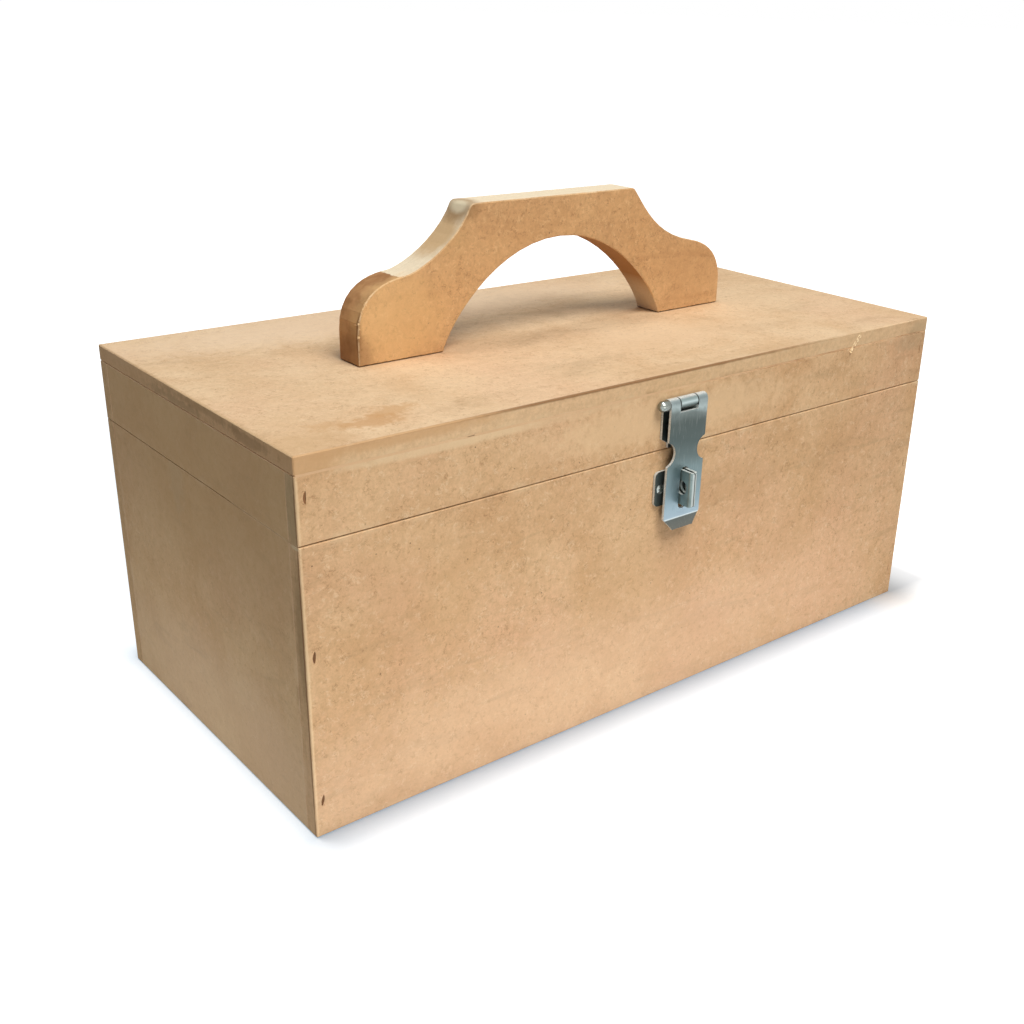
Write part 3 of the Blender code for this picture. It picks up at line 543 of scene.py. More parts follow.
@dataclass(frozen=True)
class HandleFinish(BoardFinish):
    """Thicker, redder fibreboard with cream sanded edges and scorched rounded ends."""

    light: Colour = (222, 179, 129)
    dark: Colour = (205, 160, 113)
    blush: Colour = (216, 168, 116)
    strand_dark: Colour = (122, 76, 38)
    strand_light: Colour = (240, 202, 150)
    smear: Colour = (176, 126, 82)
    core: Colour = (250, 232, 202)
    core_dark: Colour = (234, 210, 172)
    scorch: Colour = (198, 148, 98)
    scorch_dark: Colour = (160, 112, 70)
    gap_shade: Colour = (104, 68, 38)
    shaded: Colour = (170, 120, 74)
    arris: Colour = (246, 222, 182)
    layering: float = 0.35
    tufts: float = 0.25
    wobble: float = 4 * MM
    fade: float = 1 * MM
    arch_fade: float = 4 * MM
    arch_rise: Range = (8 * MM, 42 * MM)
    gap_rise: Range = (0.3 * MM, 0.7 * MM)
    gap_wobble: float = 1.6 * MM

    def handle(self, name: str, ends: Range, arch: Range, foot: float,
               patches: Sequence[Patch]) -> Material:
        """Makes the handle's material.

        Args:
            name: The material's name.
            ends: X where the scorched left end stops and the right one starts.
            arch: X of the arch's two sides.
            foot: The height of the feet's underside.
            patches: Marks on it.

        Returns:
            The material.
        """
        material, t = new_material(name)
        facing = t.math("ABSOLUTE", t.dot(t.normal, Axis.Y.value))
        sawn = t.step(facing, 0.25, 0.6, 1.0, 0.0)
        arris = t.times(t.step(facing, 0.3, 0.5), t.step(facing, 0.93, 0.995, 1.0, 0.0))
        face, face_height = self.face(t)
        core, core_height = self.sawn(t, Axis.Y)
        along = t.axes(t.place)
        uneven = t.math("SUBTRACT", t.noise(220.0), 0.5)
        x = t.math("ADD", along["X"], t.times(uneven, self.wobble))
        left = t.step(x, ends[0], ends[0] + self.fade, 1.0, 0.0)
        right = t.step(x, ends[1], ends[1] + self.fade)
        under = t.times(t.step(x, arch[0] - self.arch_fade, arch[0]),
                        t.step(x, arch[1], arch[1] + self.arch_fade, 1.0, 0.0))
        down = t.step(t.axes(t.normal)["Z"], -0.05, 0.1, 1.0, 0.0)
        rise = t.step(along["Z"], foot + self.arch_rise[0], foot + self.arch_rise[1], 0.45, 1.5)
        burnt = t.math("MINIMUM", t.math("ADD", left, right), 1.0)
        singe = t.step(t.noise(60.0), 0.35, 0.65)
        edge = t.mix(burnt, core, t.mix(singe, linear(self.scorch), linear(self.scorch_dark)))
        inside = t.math("MINIMUM", t.times(under, down, rise), 1.0)
        edge = t.mix(inside, edge, linear(self.shaded))
        colour = self.marked(t, t.mix(sawn, face, edge), patches)
        wear = t.step(t.noise(380.0, 3.0, 0.65), 0.3, 0.62)
        rubbed = t.step(t.noise(45.0), 0.4, 0.62, 0.02, 0.5)
        colour = t.paint(colour, arris, t.times(wear, rubbed), self.arris)
        over = t.math("ADD", along["Z"], t.times(uneven, self.gap_wobble))
        gap = t.step(over, foot + self.gap_rise[0], foot + self.gap_rise[1], 0.8, 0.0)
        colour = t.mix(gap, colour, linear(self.gap_shade))
        self.finish(t, colour, t.blend(sawn, face_height, core_height), sawn)
        return material


@dataclass(frozen=True)
class ZincFinish:
    """Zinc-plated sheet: softly clouded blue grey, with painted highlights along its cut edges.

    A folded plate has a tab, the Y where it leaves the plate: behind it the plate's face is darkened
    as painted shade, and the tab's front end is painted lighter as a highlight. Seams are X of dark
    lines above seams_from, painted shade in the gaps between knuckles and between the tab's layers.
    Bands are soft colours by height in millimetres: painted highlights and reflections over the
    plating's tone. Above the toe they slope along the sheet and drift with its clouds.
    """

    dull: Colour = (104, 116, 118)
    bright: Colour = (132, 148, 152)
    # edge is the colour of bright scratches and of the painted highlights on the cut edges and the
    # tab's front end.
    edge: Colour = (232, 236, 232)
    # Colour of the tarnish stains, and of the painted shade behind the tab and in the seams.
    tarnish_and_shade: Colour = (58, 62, 58)
    roughness: float = 0.3
    metallic: float = 0.9
    # How strong the painted highlight on the cut edges is, and how metallic it is.
    edge_highlight: float = 1.0
    edge_highlight_metallic: float = 0.1
    scratches: float = 0.1
    tab: float | None = None
    tab_fade: float = 0.3 * MM
    front_fade: float = 1.0 * MM
    seams: tuple[float, ...] = ()
    seams_from: float = 0.0
    seam_width: Range = (0.25 * MM, 0.55 * MM)
    seam_fade: float = 0.5 * MM
    bands: tuple[tuple[float, Colour], ...] = ()
    toe: float = 0.0
    toe_fade: float = 4 * MM
    slope: float = 0.12
    drift: float = 2.5 * MM
    bump: Range = (0.25, 0.02 * MM)

    def material(self, name: str) -> Material:
        """Makes the plated material.

        Args:
            name: The material's name.

        Returns:
            The material.
        """
        material, t = new_material(name)
        plating = t.effect(Effect.PLATING)
        if self.bands:
            colour = self._banded(t, plating["Cloud"])
        else:
            colour = t.mix(plating["Cloud"], linear(self.dull), linear(self.bright))
        colour = t.paint(colour, plating["Scratch"], self.scratches, self.edge)
        facing = t.math("ABSOLUTE", t.dot(t.normal, Axis.Y.value))
        # Painted highlight: faces across the sheet, its cut edges, take the edge colour, broken up by
        # the grain.
        edge_highlight = t.times(t.step(facing, 0.2, 0.8, self.edge_highlight, 0.0),
                      t.step(plating["Grain"], 0.35, 0.6, 0.55, 1.0))
        parts = t.axes(t.place)
        if self.tab is not None:
            # Painted shade: flat faces behind the tab, the plate's face where the flap hangs over it,
            # are darkened.
            flat = t.step(facing, 0.7, 0.95)
            low = t.step(parts["Y"], self.tab, self.tab + self.tab_fade)
            colour = t.paint(colour, t.times(flat, low), 0.75, self.tarnish_and_shade)
            # On a folded plate the painted edge highlights stay behind the tab and on faces that point
            # up or down.
            upward = t.math("ABSOLUTE", t.dot(t.normal, Axis.Z.value))
            edge_highlight = t.times(edge_highlight, t.math("MAXIMUM", low, t.step(upward, 0.5, 0.8)))
            # Painted highlight: the tab's flat front end is laid half over in the edge colour.
            front = t.step(parts["Y"], self.tab - self.front_fade, self.tab, 0.5, 0.0)
            colour = t.paint(colour, flat, front, self.edge)
        # Painted shade: a dark line along each seam, in the gaps between knuckles and between the tab's
        # layers, with no edge highlight there.
        for seam in self.seams:
            aside = t.math("ABSOLUTE", t.math("SUBTRACT", parts["X"], seam))
            line = t.times(t.step(aside, *self.seam_width, 0.9, 0.0),
                           t.step(parts["Z"], self.seams_from, self.seams_from + self.seam_fade))
            colour = t.mix(line, colour, linear(self.tarnish_and_shade))
            edge_highlight = t.times(edge_highlight, t.math("SUBTRACT", 1.0, line))
        # Lays on the painted edge highlights; below, they are made less metallic so that they stay
        # bright.
        colour = t.mix(edge_highlight, colour, linear(self.edge))
        stain = t.step(t.noise(420.0, 4.0, 0.7), 0.64, 0.76, 0.0, 0.45)
        colour = t.mix(stain, colour, linear(self.tarnish_and_shade))
        rough = t.step(plating["Cloud"], 0.0, 1.0, self.roughness + 0.08, self.roughness - 0.04)
        rough = t.math("ADD", rough, t.times(plating["Grain"], 0.1))
        height = t.math("SUBTRACT", t.times(plating["Grain"], 0.6), plating["Scratch"])
        metallic = t.step(edge_highlight, 0.0, 1.0, self.metallic, self.edge_highlight_metallic)
        t.surface(colour, rough, height, self.bump, Metallic=metallic)
        return material

    def _banded(self, t: Tree, cloud: Socket) -> Socket:
        """Colours the sheet in soft bands by height, with painted highlights and reflections.

        Args:
            t: The material's tree.
            cloud: The plating's cloud, which bends the bands.

        Returns:
            The colour.
        """
        (low, first), (high, last) = self.bands[0], self.bands[-1]
        parts = t.axes(t.place)
        drift = t.math("ADD", t.times(parts["X"], self.slope), t.times(cloud, self.drift))
        over_toe = t.step(parts["Z"], self.toe, self.toe + self.toe_fade)
        bent = t.math("ADD", parts["Z"], t.times(drift, over_toe))
        inputs = {"Value": bent, "From Min": low * MM, "From Max": high * MM}
        ramp = t.add("ValToRGB", {0: t.add("MapRange", inputs).outputs[0]})
        stops = ramp.color_ramp.elements
        for at, colour in self.bands[1:-1]:
            stops.new((at - low) / (high - low)).color = linear(colour)
        stops[0].color, stops[len(stops) - 1].color = linear(first), linear(last)
        return ramp.outputs["Color"]


@dataclass(frozen=True)
class GlueFinish:
    """Dried glue and sanding dust in a joint."""

    pale: Colour = (226, 190, 146)
    dark: Colour = (204, 166, 122)
    roughness: float = 0.7
    cloud_size: float = 0.03
    bump: Range = (0.4, 0.05 * MM)

    def material(self, name: str) -> Material:
        """Makes the material.

        Args:
            name: The material's name.

        Returns:
            The material.
        """
        material, t = new_material(name)
        cloud = t.effect(Effect.CLOUD, Size=self.cloud_size)
        colour = t.mix(cloud["Broad"], linear(self.pale), linear(self.dark))
        colour = t.paint(colour, cloud["Fine"], 0.4, self.dark)
        rough = t.step(cloud["Fine"], 0.2, 0.8, self.roughness - 0.1, self.roughness + 0.15)
        t.surface(colour, rough, cloud["Fine"], self.bump)
        return material


def dress(node: str, material: Material) -> None:
    """Gives a solid of the frame a finish.

    Args:
        node: The solid's node.
        material: The finish.
    """
    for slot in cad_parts[node].material_slots:
        slot.material = material
    LOG.info("dressed %s with %s", node, material.name)


def piece(name: str, bm: Mesh, material: Material, body: Body) -> None:
    """Turns a mesh into a piece that rides on a body.

    Args:
        name: The piece's name.
        bm: Its mesh, which is freed.
        material: Its finish.
        body: The body it moves with.
    """
    bmesh.ops.recalc_face_normals(bm, faces=bm.faces)
    mesh = bpy.data.meshes.new(name)
    bm.to_mesh(mesh)
    bm.free()
    obj = bpy.data.objects.new(name, mesh)
    bpy.context.scene.collection.objects.link(obj)
    obj.data.materials.append(material)
    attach(obj, body.value)
    LOG.info("built %s: %d faces on %s", name, len(mesh.polygons), body.value)


def line(xs: Sequence[float] | float, ys: Sequence[float] | float,
         zs: Sequence[float] | float) -> list[Vector]:
    """Points from their coordinates, where one number stands for all of them."""
    return [Vector(point) for point in np.broadcast(xs, ys, zs)]


def bead(bm: Mesh, rows: Sequence[Sequence[Vector]], closed: bool = False) -> None:
    """Adds a closed strip whose section runs round four rows of points.

    Args:
        bm: The mesh to add to.
        rows: Four rows of as many points each, in order round the section.
        closed: Whether the strip's end meets its start.
    """
    lines = [[bm.verts.new(p) for p in row] for row in rows]
    count = len(lines[0])
    for i in range(count if closed else count - 1):
        j = (i + 1) % count
        for row, following in zip(lines, lines[1:] + lines[:1]):
            bm.faces.new((row[i], row[j], following[j], following[i]))
    if not closed:
        for i in (0, count - 1):
            bm.faces.new([row[i] for row in lines])


def rectangle(half_x: float, half_y: float, z: float, counts: tuple[int, int],
              sink: Sequence[float] | None = None) -> list[Vector]:
    """Points round a rectangle, each drawn in by its own depth.

    Args:
        half_x: Half of its length.
        half_y: Half of its depth.
        z: Its height.
        counts: Steps along a long and a short side.
        sink: How far each point is drawn in, or None.

    Returns:
        The points, in order.
    """
    corners = [(-1, -1), (1, -1), (1, 1), (-1, 1)]
    points = []
    for k, (a, b) in enumerate(zip(corners, corners[1:] + corners[:1])):
        steps = counts[k % 2]
        points += [(a[0] + (b[0] - a[0]) * i / steps, a[1] + (b[1] - a[1]) * i / steps)
                   for i in range(steps)]
    depths = [0.0] * len(points) if sink is None else sink
    return [Vector((x * (half_x - d), y * (half_y - d), z)) for (x, y), d in zip(points, depths)]


def smooth_noise(count: int, low: float, high: float, rng: Chance) -> np.ndarray:
    """Uneven numbers from low to high that change softly from one to the next."""
    soft = np.convolve(rng.random(count + 4), [0.1, 0.2, 0.4, 0.2, 0.1], "valid")
    return low + (high - low) * np.clip((soft - 0.25) * 2, 0, 1)


def sliver(bm: Mesh, root: Vector, tip: Vector, lift: Vector, width: float) -> None:
    """Adds one torn fibre: a bent, tapering sliver.

    Args:
        bm: The mesh to add to.
        root: Where it starts.
        tip: Where it ends.
        lift: How far its middle bows out.
        width: Its thickness at the root.
    """
    along = (tip - root).normalized()
    side = along.orthogonal().normalized()
    up = along.cross(side)
    angles = [math.tau * k / 3 for k in range(3)]
    rings = []
    for share, size in ((0.0, 1.0), (0.5, 0.7)):
        centre = root.lerp(tip, share) + lift * math.sin(math.pi * share)
        spokes = [(side * math.cos(a) + up * math.sin(a)) * width * size / 2 for a in angles]
        rings.append([bm.verts.new(centre + spoke) for spoke in spokes])
    end = bm.verts.new(tip)
    bm.faces.new(reversed(rings[0]))
    for k in range(3):
        m = (k + 1) % 3
        bm.faces.new((rings[0][k], rings[0][m], rings[1][m], rings[1][k]))
        bm.faces.new((rings[1][k], rings[1][m], end))


# How far the torn edge bows and leans over each kind of wire staple, in millimetres
LIP_BENDS = {"lid": (0.7, 0.1), "high": (0.5, 0.25), "low": (0.2, 0.6)}


@dataclass(frozen=True)
class TornLips:
    """Flakes of board that half cover each wire staple and rise to a torn edge round it.

    Crest, foot and back are how far a flake's torn edge, its foot and its back stand out of the
    wire's face. Over is how far it passes the wire's ends, and roots how far it reaches aside.
    Curl and the openings, in millimetres, are how far the two torn edges stand from the wire.
    """

    crest: float = 0.36 * MM
    foot: float = 0.26 * MM
    back: float = 0.04 * MM
    over: float = 0.35 * MM
    inset: float = 0.3 * MM
    roots: Range = (1.3 * MM, 1.6 * MM)
    points: int = 11
    ends_share: float = 0.96
    blunt: float = 0.7
    curl: Range = (0.4, 0.6)
    open_left: float = 1.05
    open_right: float = 0.3
    open_behind: Range = (0.3, 0.9)

    def build(self, name: str, staples: Sequence[str], material: Material, body: Body,
              rng: Chance) -> None:
        """Builds the lips of one body's wire staples.

        Args:
            name: The piece's name.
            staples: The staples' nodes.
            material: The board's finish.
            body: The body they ride on.
            rng: The source of chance.
        """
        bm = bmesh.new()
        shares = np.linspace(-self.ends_share, self.ends_share, self.points)
        swell = 1 - shares * shares
        for node in staples:
            low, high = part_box(node)
            words = node.split("_")
            if low.y < 0:
                opening = {"left": self.open_left, "right": self.open_right}[words[3]]
                side, face = -1.0, low.y
            else:
                opening = rng.uniform(*self.open_behind)
                side, face = 1.0, high.y
            bow, lean = LIP_BENDS[words[-1]]
            curl = rng.uniform(*self.curl) * MM
            centre = low.x + self.inset + (bow * shares * shares + lean * shares) * MM
            half = (high.z - low.z) / 2 + self.over
            heights = (low.z + high.z) / 2 + shares * half
            crest, foot, back = (face + side * d for d in (self.crest, self.foot, self.back))
            for torn, root in ((centre - curl * swell, low.x - self.roots[0]),
                               (centre + opening * MM * swell ** self.blunt, high.x + self.roots[1])):
                far = torn + (root - torn) * np.sqrt(swell)
                bead(bm, [line(xs, y, heights) for xs, y in
                          ((torn, crest), (torn, back), (far, back), (far, foot))])
        piece(name, bm, material, body)


@dataclass
class Joints:
    """Glue and filler between the boards of one body, as strips in one mesh."""

    rng: Chance
    bm: Mesh = field(default_factory=bmesh.new)
    length: float = 0.460
    depth: float = 0.225
    board: float = 0.009
    gap: float = 0.3 * MM
    spare: float = 0.02 * MM
    sunk: Range = (0.0, 0.1 * MM)
    corner_step: float = 4 * MM
    corner_least: int = 8
    top_counts: tuple[int, int] = (110, 54)
    front_share: float = 0.3
    front_proud: float = 0.03 * MM
    corner_sunk: float = 0.45 * MM
    filler_count: int = 120
    filler_sunk: Range = (0.05 * MM, 0.5 * MM)
    filler_worn: Range = (-0.02, 0.12)
    filler_end: float = 0.6 * MM
    filler_lap: float = 0.46 * MM
    filler_depth: float = 0.55 * MM
    bottom_counts: tuple[int, int] = (60, 30)
    bottom_waves: Range = (0.2 * MM, 0.9 * MM)

    def corners(self, bottom: float, top: float) -> None:
        """Fills between the ends and the boards that cover them.

        Args:
            bottom: Where the walls start.
            top: Where they stop.
        """
        count = max(int((top - bottom) / self.corner_step), self.corner_least)
        heights = np.linspace(bottom + self.gap, top - self.gap, count)
        outside, inside = self.length / 2, self.length / 2 - self.board + self.spare
        near = self.depth / 2 - self.board - self.gap + self.spare
        far = self.depth / 2 - self.board - self.spare
        for x_side in (-1, 1):
            for y_side in (-1, 1):
                outer = x_side * (outside - smooth_noise(count, *self.sunk, self.rng))
                inner = x_side * inside
                rows = [(outer, near), (outer, far), (inner, far), (inner, near)]
                bead(self.bm, [line(x, y_side * y, heights) for x, y in rows])

    def under_top(self, under: float) -> None:
        """Fills between the top board and the walls.

        Args:
            under: The height of the walls' top.
        """
        front, side = counts = self.top_counts
        depths = smooth_noise(2 * (front + side), *self.sunk, self.rng)
        depths[:front] = depths[:front] * self.front_share - self.front_proud
        depths[[0, front, front + side, 2 * front + side]] = self.corner_sunk
        low, high = under + self.spare, under + self.gap - self.spare
        inset = self.spare - self.board
        inner = (self.length / 2 + inset, self.depth / 2 + inset)
        rows = [rectangle(self.length / 2, self.depth / 2, z, counts, depths) for z in (low, high)]
        rows += [rectangle(*inner, z, counts) for z in (high, low)]
        bead(self.bm, rows, True)

    def front_groove(self, under: float) -> None:
        """Fills the groove under the top board's front edge, sanded flush.

        Args:
            under: The height of the walls' top.
        """
        reach, face = self.length / 2 - self.filler_end, -self.depth / 2
        along = np.linspace(-reach, reach, self.filler_count)
        start, run = self.filler_worn
        worn = np.clip((along - start) / run, 0.0, 1.0)
        sunk = smooth_noise(self.filler_count, *self.filler_sunk, self.rng) * worn
        front, back = face + np.maximum(0.0, sunk), face + self.filler_depth
        over = under + self.gap
        rows = [(front, under - self.filler_lap), (front, over + self.filler_lap), (back, over),
                (back, under)]
        bead(self.bm, [line(along, y, z) for y, z in rows])

    def round_bottom(self) -> None:
        """Fills round the bottom board."""
        waves = smooth_noise(2 * sum(self.bottom_counts), *self.bottom_waves, self.rng)
        top = [self.board - self.spare] * len(waves)
        near, far = self.board + self.spare, self.board + (self.gap - self.spare)
        rows = []
        for inset, heights in ((near, top), (near, waves), (far, waves), (far, top)):
            half_x, half_y = self.length / 2 - inset, self.depth / 2 - inset
            rows.append(rectangle(half_x, half_y, 0.0, self.bottom_counts))
            for point, height in zip(rows[-1], heights):
                point.z = height
        bead(self.bm, rows, True)


WALLS = {"front_board": Axis.Y, "back_board": Axis.Y, "left_end": Axis.X, "right_end": Axis.X}
WALL_MARKS = {
    "body_front_board": marks(
        # Painted bounce light: the front board lighter and bluer towards the bottom.
        (-50, -112.5, 20, 300, 20, 70, (228, 190, 156), 0.4, 0.6),
        (-165, -112.5, 115, 50, 20, 50, (212, 168, 118), 0.2, 1.2),
        (-20, -112.5, 85, 70, 20, 35, (206, 164, 118), 0.3, 1.5),
        (50, -112.5, 125, 60, 20, 18, (196, 154, 110), 0.3, 1.5),
        (100, -112.5, 70, 50, 20, 20, (200, 158, 114), 0.25, 1.6),
        (-230, -110, 110, 2.2, 7, 45, (150, 122, 84), 0.6, 0.5),
        (-230.3, -111.6, 85, 1.4, 1.3, 150, (122, 84, 50), 0.65, 0.9),
        (-229.2, -112.7, 80, 1.3, 1.3, 150, (250, 218, 172), 0.6, 0.9),
        (-230, -109, 156, 3, 5, 1.6, (232, 212, 172), 0.7, 0.5),
        (229, -112.5, 156, 3, 3, 1.6, (238, 214, 172), 0.6, 0.5)),
    "body_left_end": marks(
        # Painted shade: the case's left end darker towards the top.
        (-230, 0, 170, 4, 200, 90, (196, 160, 112), 0.5, 0.5),
        (-230, 20, 150, 3, 12, 30, (200, 180, 144), 0.2, 1.5),
        # Painted bounce light: the case's left end lighter at the bottom.
        (-230, -20, 20, 4, 200, 60, (232, 204, 168), 0.35, 0.6)),
    # Painted shade: the lid's left end darkened all over.
    "lid_left_end": marks((-230, 0, 175, 4, 300, 50, (198, 162, 114), 0.55, 0.5)),
    "lid_front_board": marks(
        (-150, -112.5, 189, 75, 4, 3.5, (238, 210, 168), 0.55, 0.5),
        (-230, -108, 174, 2.2, 7.5, 30, (170, 152, 116), 0.5, 0.5),
        (-230.3, -111.6, 174, 1.4, 1.3, 30, (122, 84, 50), 0.6, 0.9),
        (-229.2, -112.7, 174, 1.3, 1.3, 30, (250, 218, 172), 0.6, 0.9),
        (0, -112.5, 176, 130, 20, 20, (240, 205, 160), 0.7, 1.2),
        (-90, -112.5, 189.5, 120, 20, 4, (238, 206, 162), 0.4, 0.8),
        (215, -112.5, 186, 22, 20, 10, (184, 158, 122), 0.45, 1.0)),
    "lid_top": marks(
        (-176, -90.5, 200, 24, 11, 10, (202, 152, 100), 0.65, 2.0),
        (-160, -81, 200, 20, 9, 10, (206, 158, 106), 0.55, 2.0),
        (-196, -84, 200, 16, 8, 10, (206, 160, 110), 0.5, 2.0),
        (-215, -100, 200, 30, 18, 10, (205, 166, 120), 0.4, 1.2),
        # Painted sheen: the top board lighter and bluer towards the back.
        (-50, 85, 200, 240, 50, 10, (244, 216, 184), 0.5, 0.8),
        (50, -50, 200, 80, 35, 10, (240, 206, 166), 0.4, 1.2),
        (40, -106, 200, 100, 6, 10, (206, 170, 128), 0.35, 1.0),
        (-230, -20, 197.5, 1.6, 450, 30, (196, 154, 108), 0.45, 0.4),
        (-230, -70, 195.5, 1.6, 30, 4, (150, 118, 82), 0.5, 2.2),
        (-230, 10, 193.5, 1.6, 50, 3, (160, 132, 96), 0.5, 2.2),
        (-230, -20, 197.5, 1.6, 60, 3, (158, 126, 88), 0.45, 2.2),
        (-230, -40, 200, 1, 160, 1, (250, 214, 164), 0.6, 0.8),
        (-30, -112.5, 200, 230, 1.8, 1.8, (138, 98, 60), 0.9, 0.25),
        (-228, -112.5, 197, 30, 1.6, 20, (212, 168, 120), 0.7, 0.8),
        (-170, -112.5, 199, 70, 1.6, 6, (212, 168, 120), 0.7, 0.8),
        (222, -112.5, 193.5, 16, 1.6, 7, (190, 164, 128), 0.5, 0.6)),
}
HANDLE_MARKS = marks(
    # Partly painted light: the left foot is lighter, while its yellower tint is its own colour.
    (-112, -7.5, 222, 45, 12, 34, (236, 192, 132), 0.5, 0.8),
    # Painted shade: the right foot darker.
    (118, -7.5, 225, 45, 12, 35, (206, 158, 108), 0.35, 1.2),
    (-76, 4, 264, 26, 20, 20, (206, 166, 114), 0.8, 0.5),
    (-135.6, -8.6, 222, 4, 2, 26, (112, 72, 38), 0.6, 0.9),
    (-64, 2.5, 278, 16, 20, 12, (158, 122, 80), 0.85, 0.3),
    (-64, 2, 278.5, 8.8, 12, 6, (236, 220, 186), 0.95, 0.3),
    (-135, 0, 206, 12, 30, 16, (140, 98, 62), 0.5, 0.9))


@dataclass
class Boards:
    """Four walls and a panel of the case, with torn lips at their wire staples."""

    body: Body
    prefix: str
    label: str
    panel_board: str
    lip_seed: int
    walls: BoardFinish = BoardFinish()
    ends: BoardFinish = BoardFinish(light=(224, 190, 144), dark=(212, 174, 128),
                                    blush=(220, 182, 140), contrast=0.55)
    panel: BoardFinish = BoardFinish()
    glue: GlueFinish = GlueFinish()

    def dress(self) -> None:
        """Gives each board its finish and builds the torn lips."""
        finishes = {Axis.X: self.ends, Axis.Y: self.walls, Axis.Z: self.panel}
        for board, across in {**WALLS, self.panel_board: Axis.Z}.items():
            node = self.prefix + board
            finish = finishes[across].board("fibreboard_" + node, node, across,
                                            WALL_MARKS.get(node, ()))
            dress(node, finish)
        staples = sorted(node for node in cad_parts
                         if node.startswith("wire_staple") and "_" + self.prefix in node + "_")
        TornLips().build("torn_fibres_" + self.label, staples,
                         bpy.data.materials[f"fibreboard_{self.prefix}front_board"], self.body,
                         np.random.default_rng(self.lip_seed))

    def glue_lines(self, joints: Joints) -> None:
        """Turns the glue in the joints into a piece."""
        glue = self.glue.material("dried_glue_" + self.label)
        piece("glue_lines_" + self.label, joints.bm, glue, self.body)


@dataclass
class Case(Boards):
    """The case's body: five boards, with glue in their joints and dust in the seam."""

    body: Body = Body.CARCASS
    prefix: str = "body_"
    label: str = "case"
    panel_board: str = "bottom"
    lip_seed: int = 13
    top: float = 0.15675
    dusty: Range = (-0.1110, -0.0300)
    dust_count: int = 60
    dust_sunk: Range = (0.02 * MM, 0.14 * MM)
    dust_thins: tuple[int, int] = (44, 15)
    dust_thinned: float = 1.5 * MM
    dust_depth: float = 3 * MM
    dust_height: float = 0.42 * MM
    dust: GlueFinish = GlueFinish(pale=(204, 170, 124), dark=(186, 150, 106))

    def build(self) -> None:
        """Builds the glue in the joints and the dust in the left seam."""
        joints = Joints(np.random.default_rng(11))
        joints.corners(0.0, self.top)
        joints.round_bottom()
        self.glue_lines(joints)
        self._seam_dust(joints)

    def _seam_dust(self, joints: Joints) -> None:
        """Builds the sanding dust in the front half of the left seam, which thins at its end.

        Args:
            joints: The joints whose sizes and source of chance it shares.
        """
        along = np.linspace(*self.dusty, self.dust_count)
        start, run = self.dust_thins
        past = np.maximum(0.0, (np.arange(self.dust_count) - start) / run)
        thinned = past ** 2 * self.dust_thinned
        outside = -joints.length / 2
        outer = outside + (smooth_noise(self.dust_count, *self.dust_sunk, joints.rng) + thinned)
        inner = outside + self.dust_depth
        low, high = self.top + joints.spare, self.top + self.dust_height
        bm = bmesh.new()
        rows = [(outer, low), (outer, high), (inner, high), (inner, low)]
        bead(bm, [line(x, along, z) for x, z in rows])
        piece("seam_dust", bm, self.dust.material("sanding_dust"), self.body)


@dataclass
class Lid(Boards):
    """The lid: a top board on four walls, with glue and filler in their joints and a nick."""

    body: Body = Body.LID
    prefix: str = "lid_"
    label: str = "lid"
    panel_board: str = "top"
    lip_seed: int = 14
    # The top board is lighter and bluer than the walls: partly its own colour and partly a painted
    # sheen of the light from above.
    panel: BoardFinish = BoardFinish(
        light=(235, 203, 163), dark=(224, 188, 146), blush=(232, 193, 155), core=(230, 194, 150),
        core_dark=(218, 180, 134), contrast=0.75, tufts=0.7, sawn_share=0.65)
    glue: GlueFinish = GlueFinish(pale=(236, 200, 156), dark=(224, 184, 140))
    bottom: float = 0.15725
    under_top: float = 0.1907
    nick_foot: Point = (0.1510, -0.11252, 0.1878)
    nick_head: Point = (0.1600, -0.11252, 0.1985)
    nick_fibres: int = 9
    nick_wides: int = 2
    nick_stray: float = 0.03
    nick_wide: float = 3.0 * MM
    nick_thin: float = 0.9 * MM
    nick_apart: Range = (-0.7 * MM, 1.4 * MM)
    nick_shift: float = 0.2 * MM
    nick_run: Range = (1.2, 2.2)
    nick_rise: Range = (1.4, 2.6)
    nick_bow: float = 0.15 * MM
    nick: BoardFinish = BoardFinish(light=(248, 226, 186), dark=(236, 208, 162),
                                    blush=(242, 216, 174), smear=(232, 202, 158), contrast=0.5)

    def build(self) -> None:
        """Builds the glue in the joints and the filler under the top board."""
        joints = Joints(np.random.default_rng(12))
        joints.corners(self.bottom, self.under_top)
        joints.under_top(self.under_top)
        joints.front_groove(self.under_top)
        self.glue_lines(joints)

    def dress(self) -> None:
        """Gives each board its finish and builds the torn lips and the nick."""
        super().dress()
        self._nick()

    def _nick(self) -> None:
        """Builds the nick's torn fibres: two wide ones at its foot and a pale strand each side."""
        rng = np.random.default_rng(15)
        bm = bmesh.new()
        foot, head = Vector(self.nick_foot), Vector(self.nick_head)
        for k in range(self.nick_fibres):
            wide = k < self.nick_wides
            apart = 0.0 if wide else self.nick_apart[k % 2]
            stray = rng.uniform(-self.nick_stray, self.nick_stray)
            start = foot.lerp(head, k / self.nick_fibres + stray)
            start.x += rng.uniform(-self.nick_shift, self.nick_shift) + apart
            run, rise = rng.uniform(*self.nick_run) * MM, rng.uniform(*self.nick_rise) * MM
            sliver(bm, start, start + Vector((run, 0, rise)), Vector((0, -self.nick_bow, 0)),
                   self.nick_wide if wide else self.nick_thin)
        finish = self.nick.board("torn_fibre_pale", "lid_front_board", Axis.Y)
        piece("nick_fibres", bm, finish, self.body)


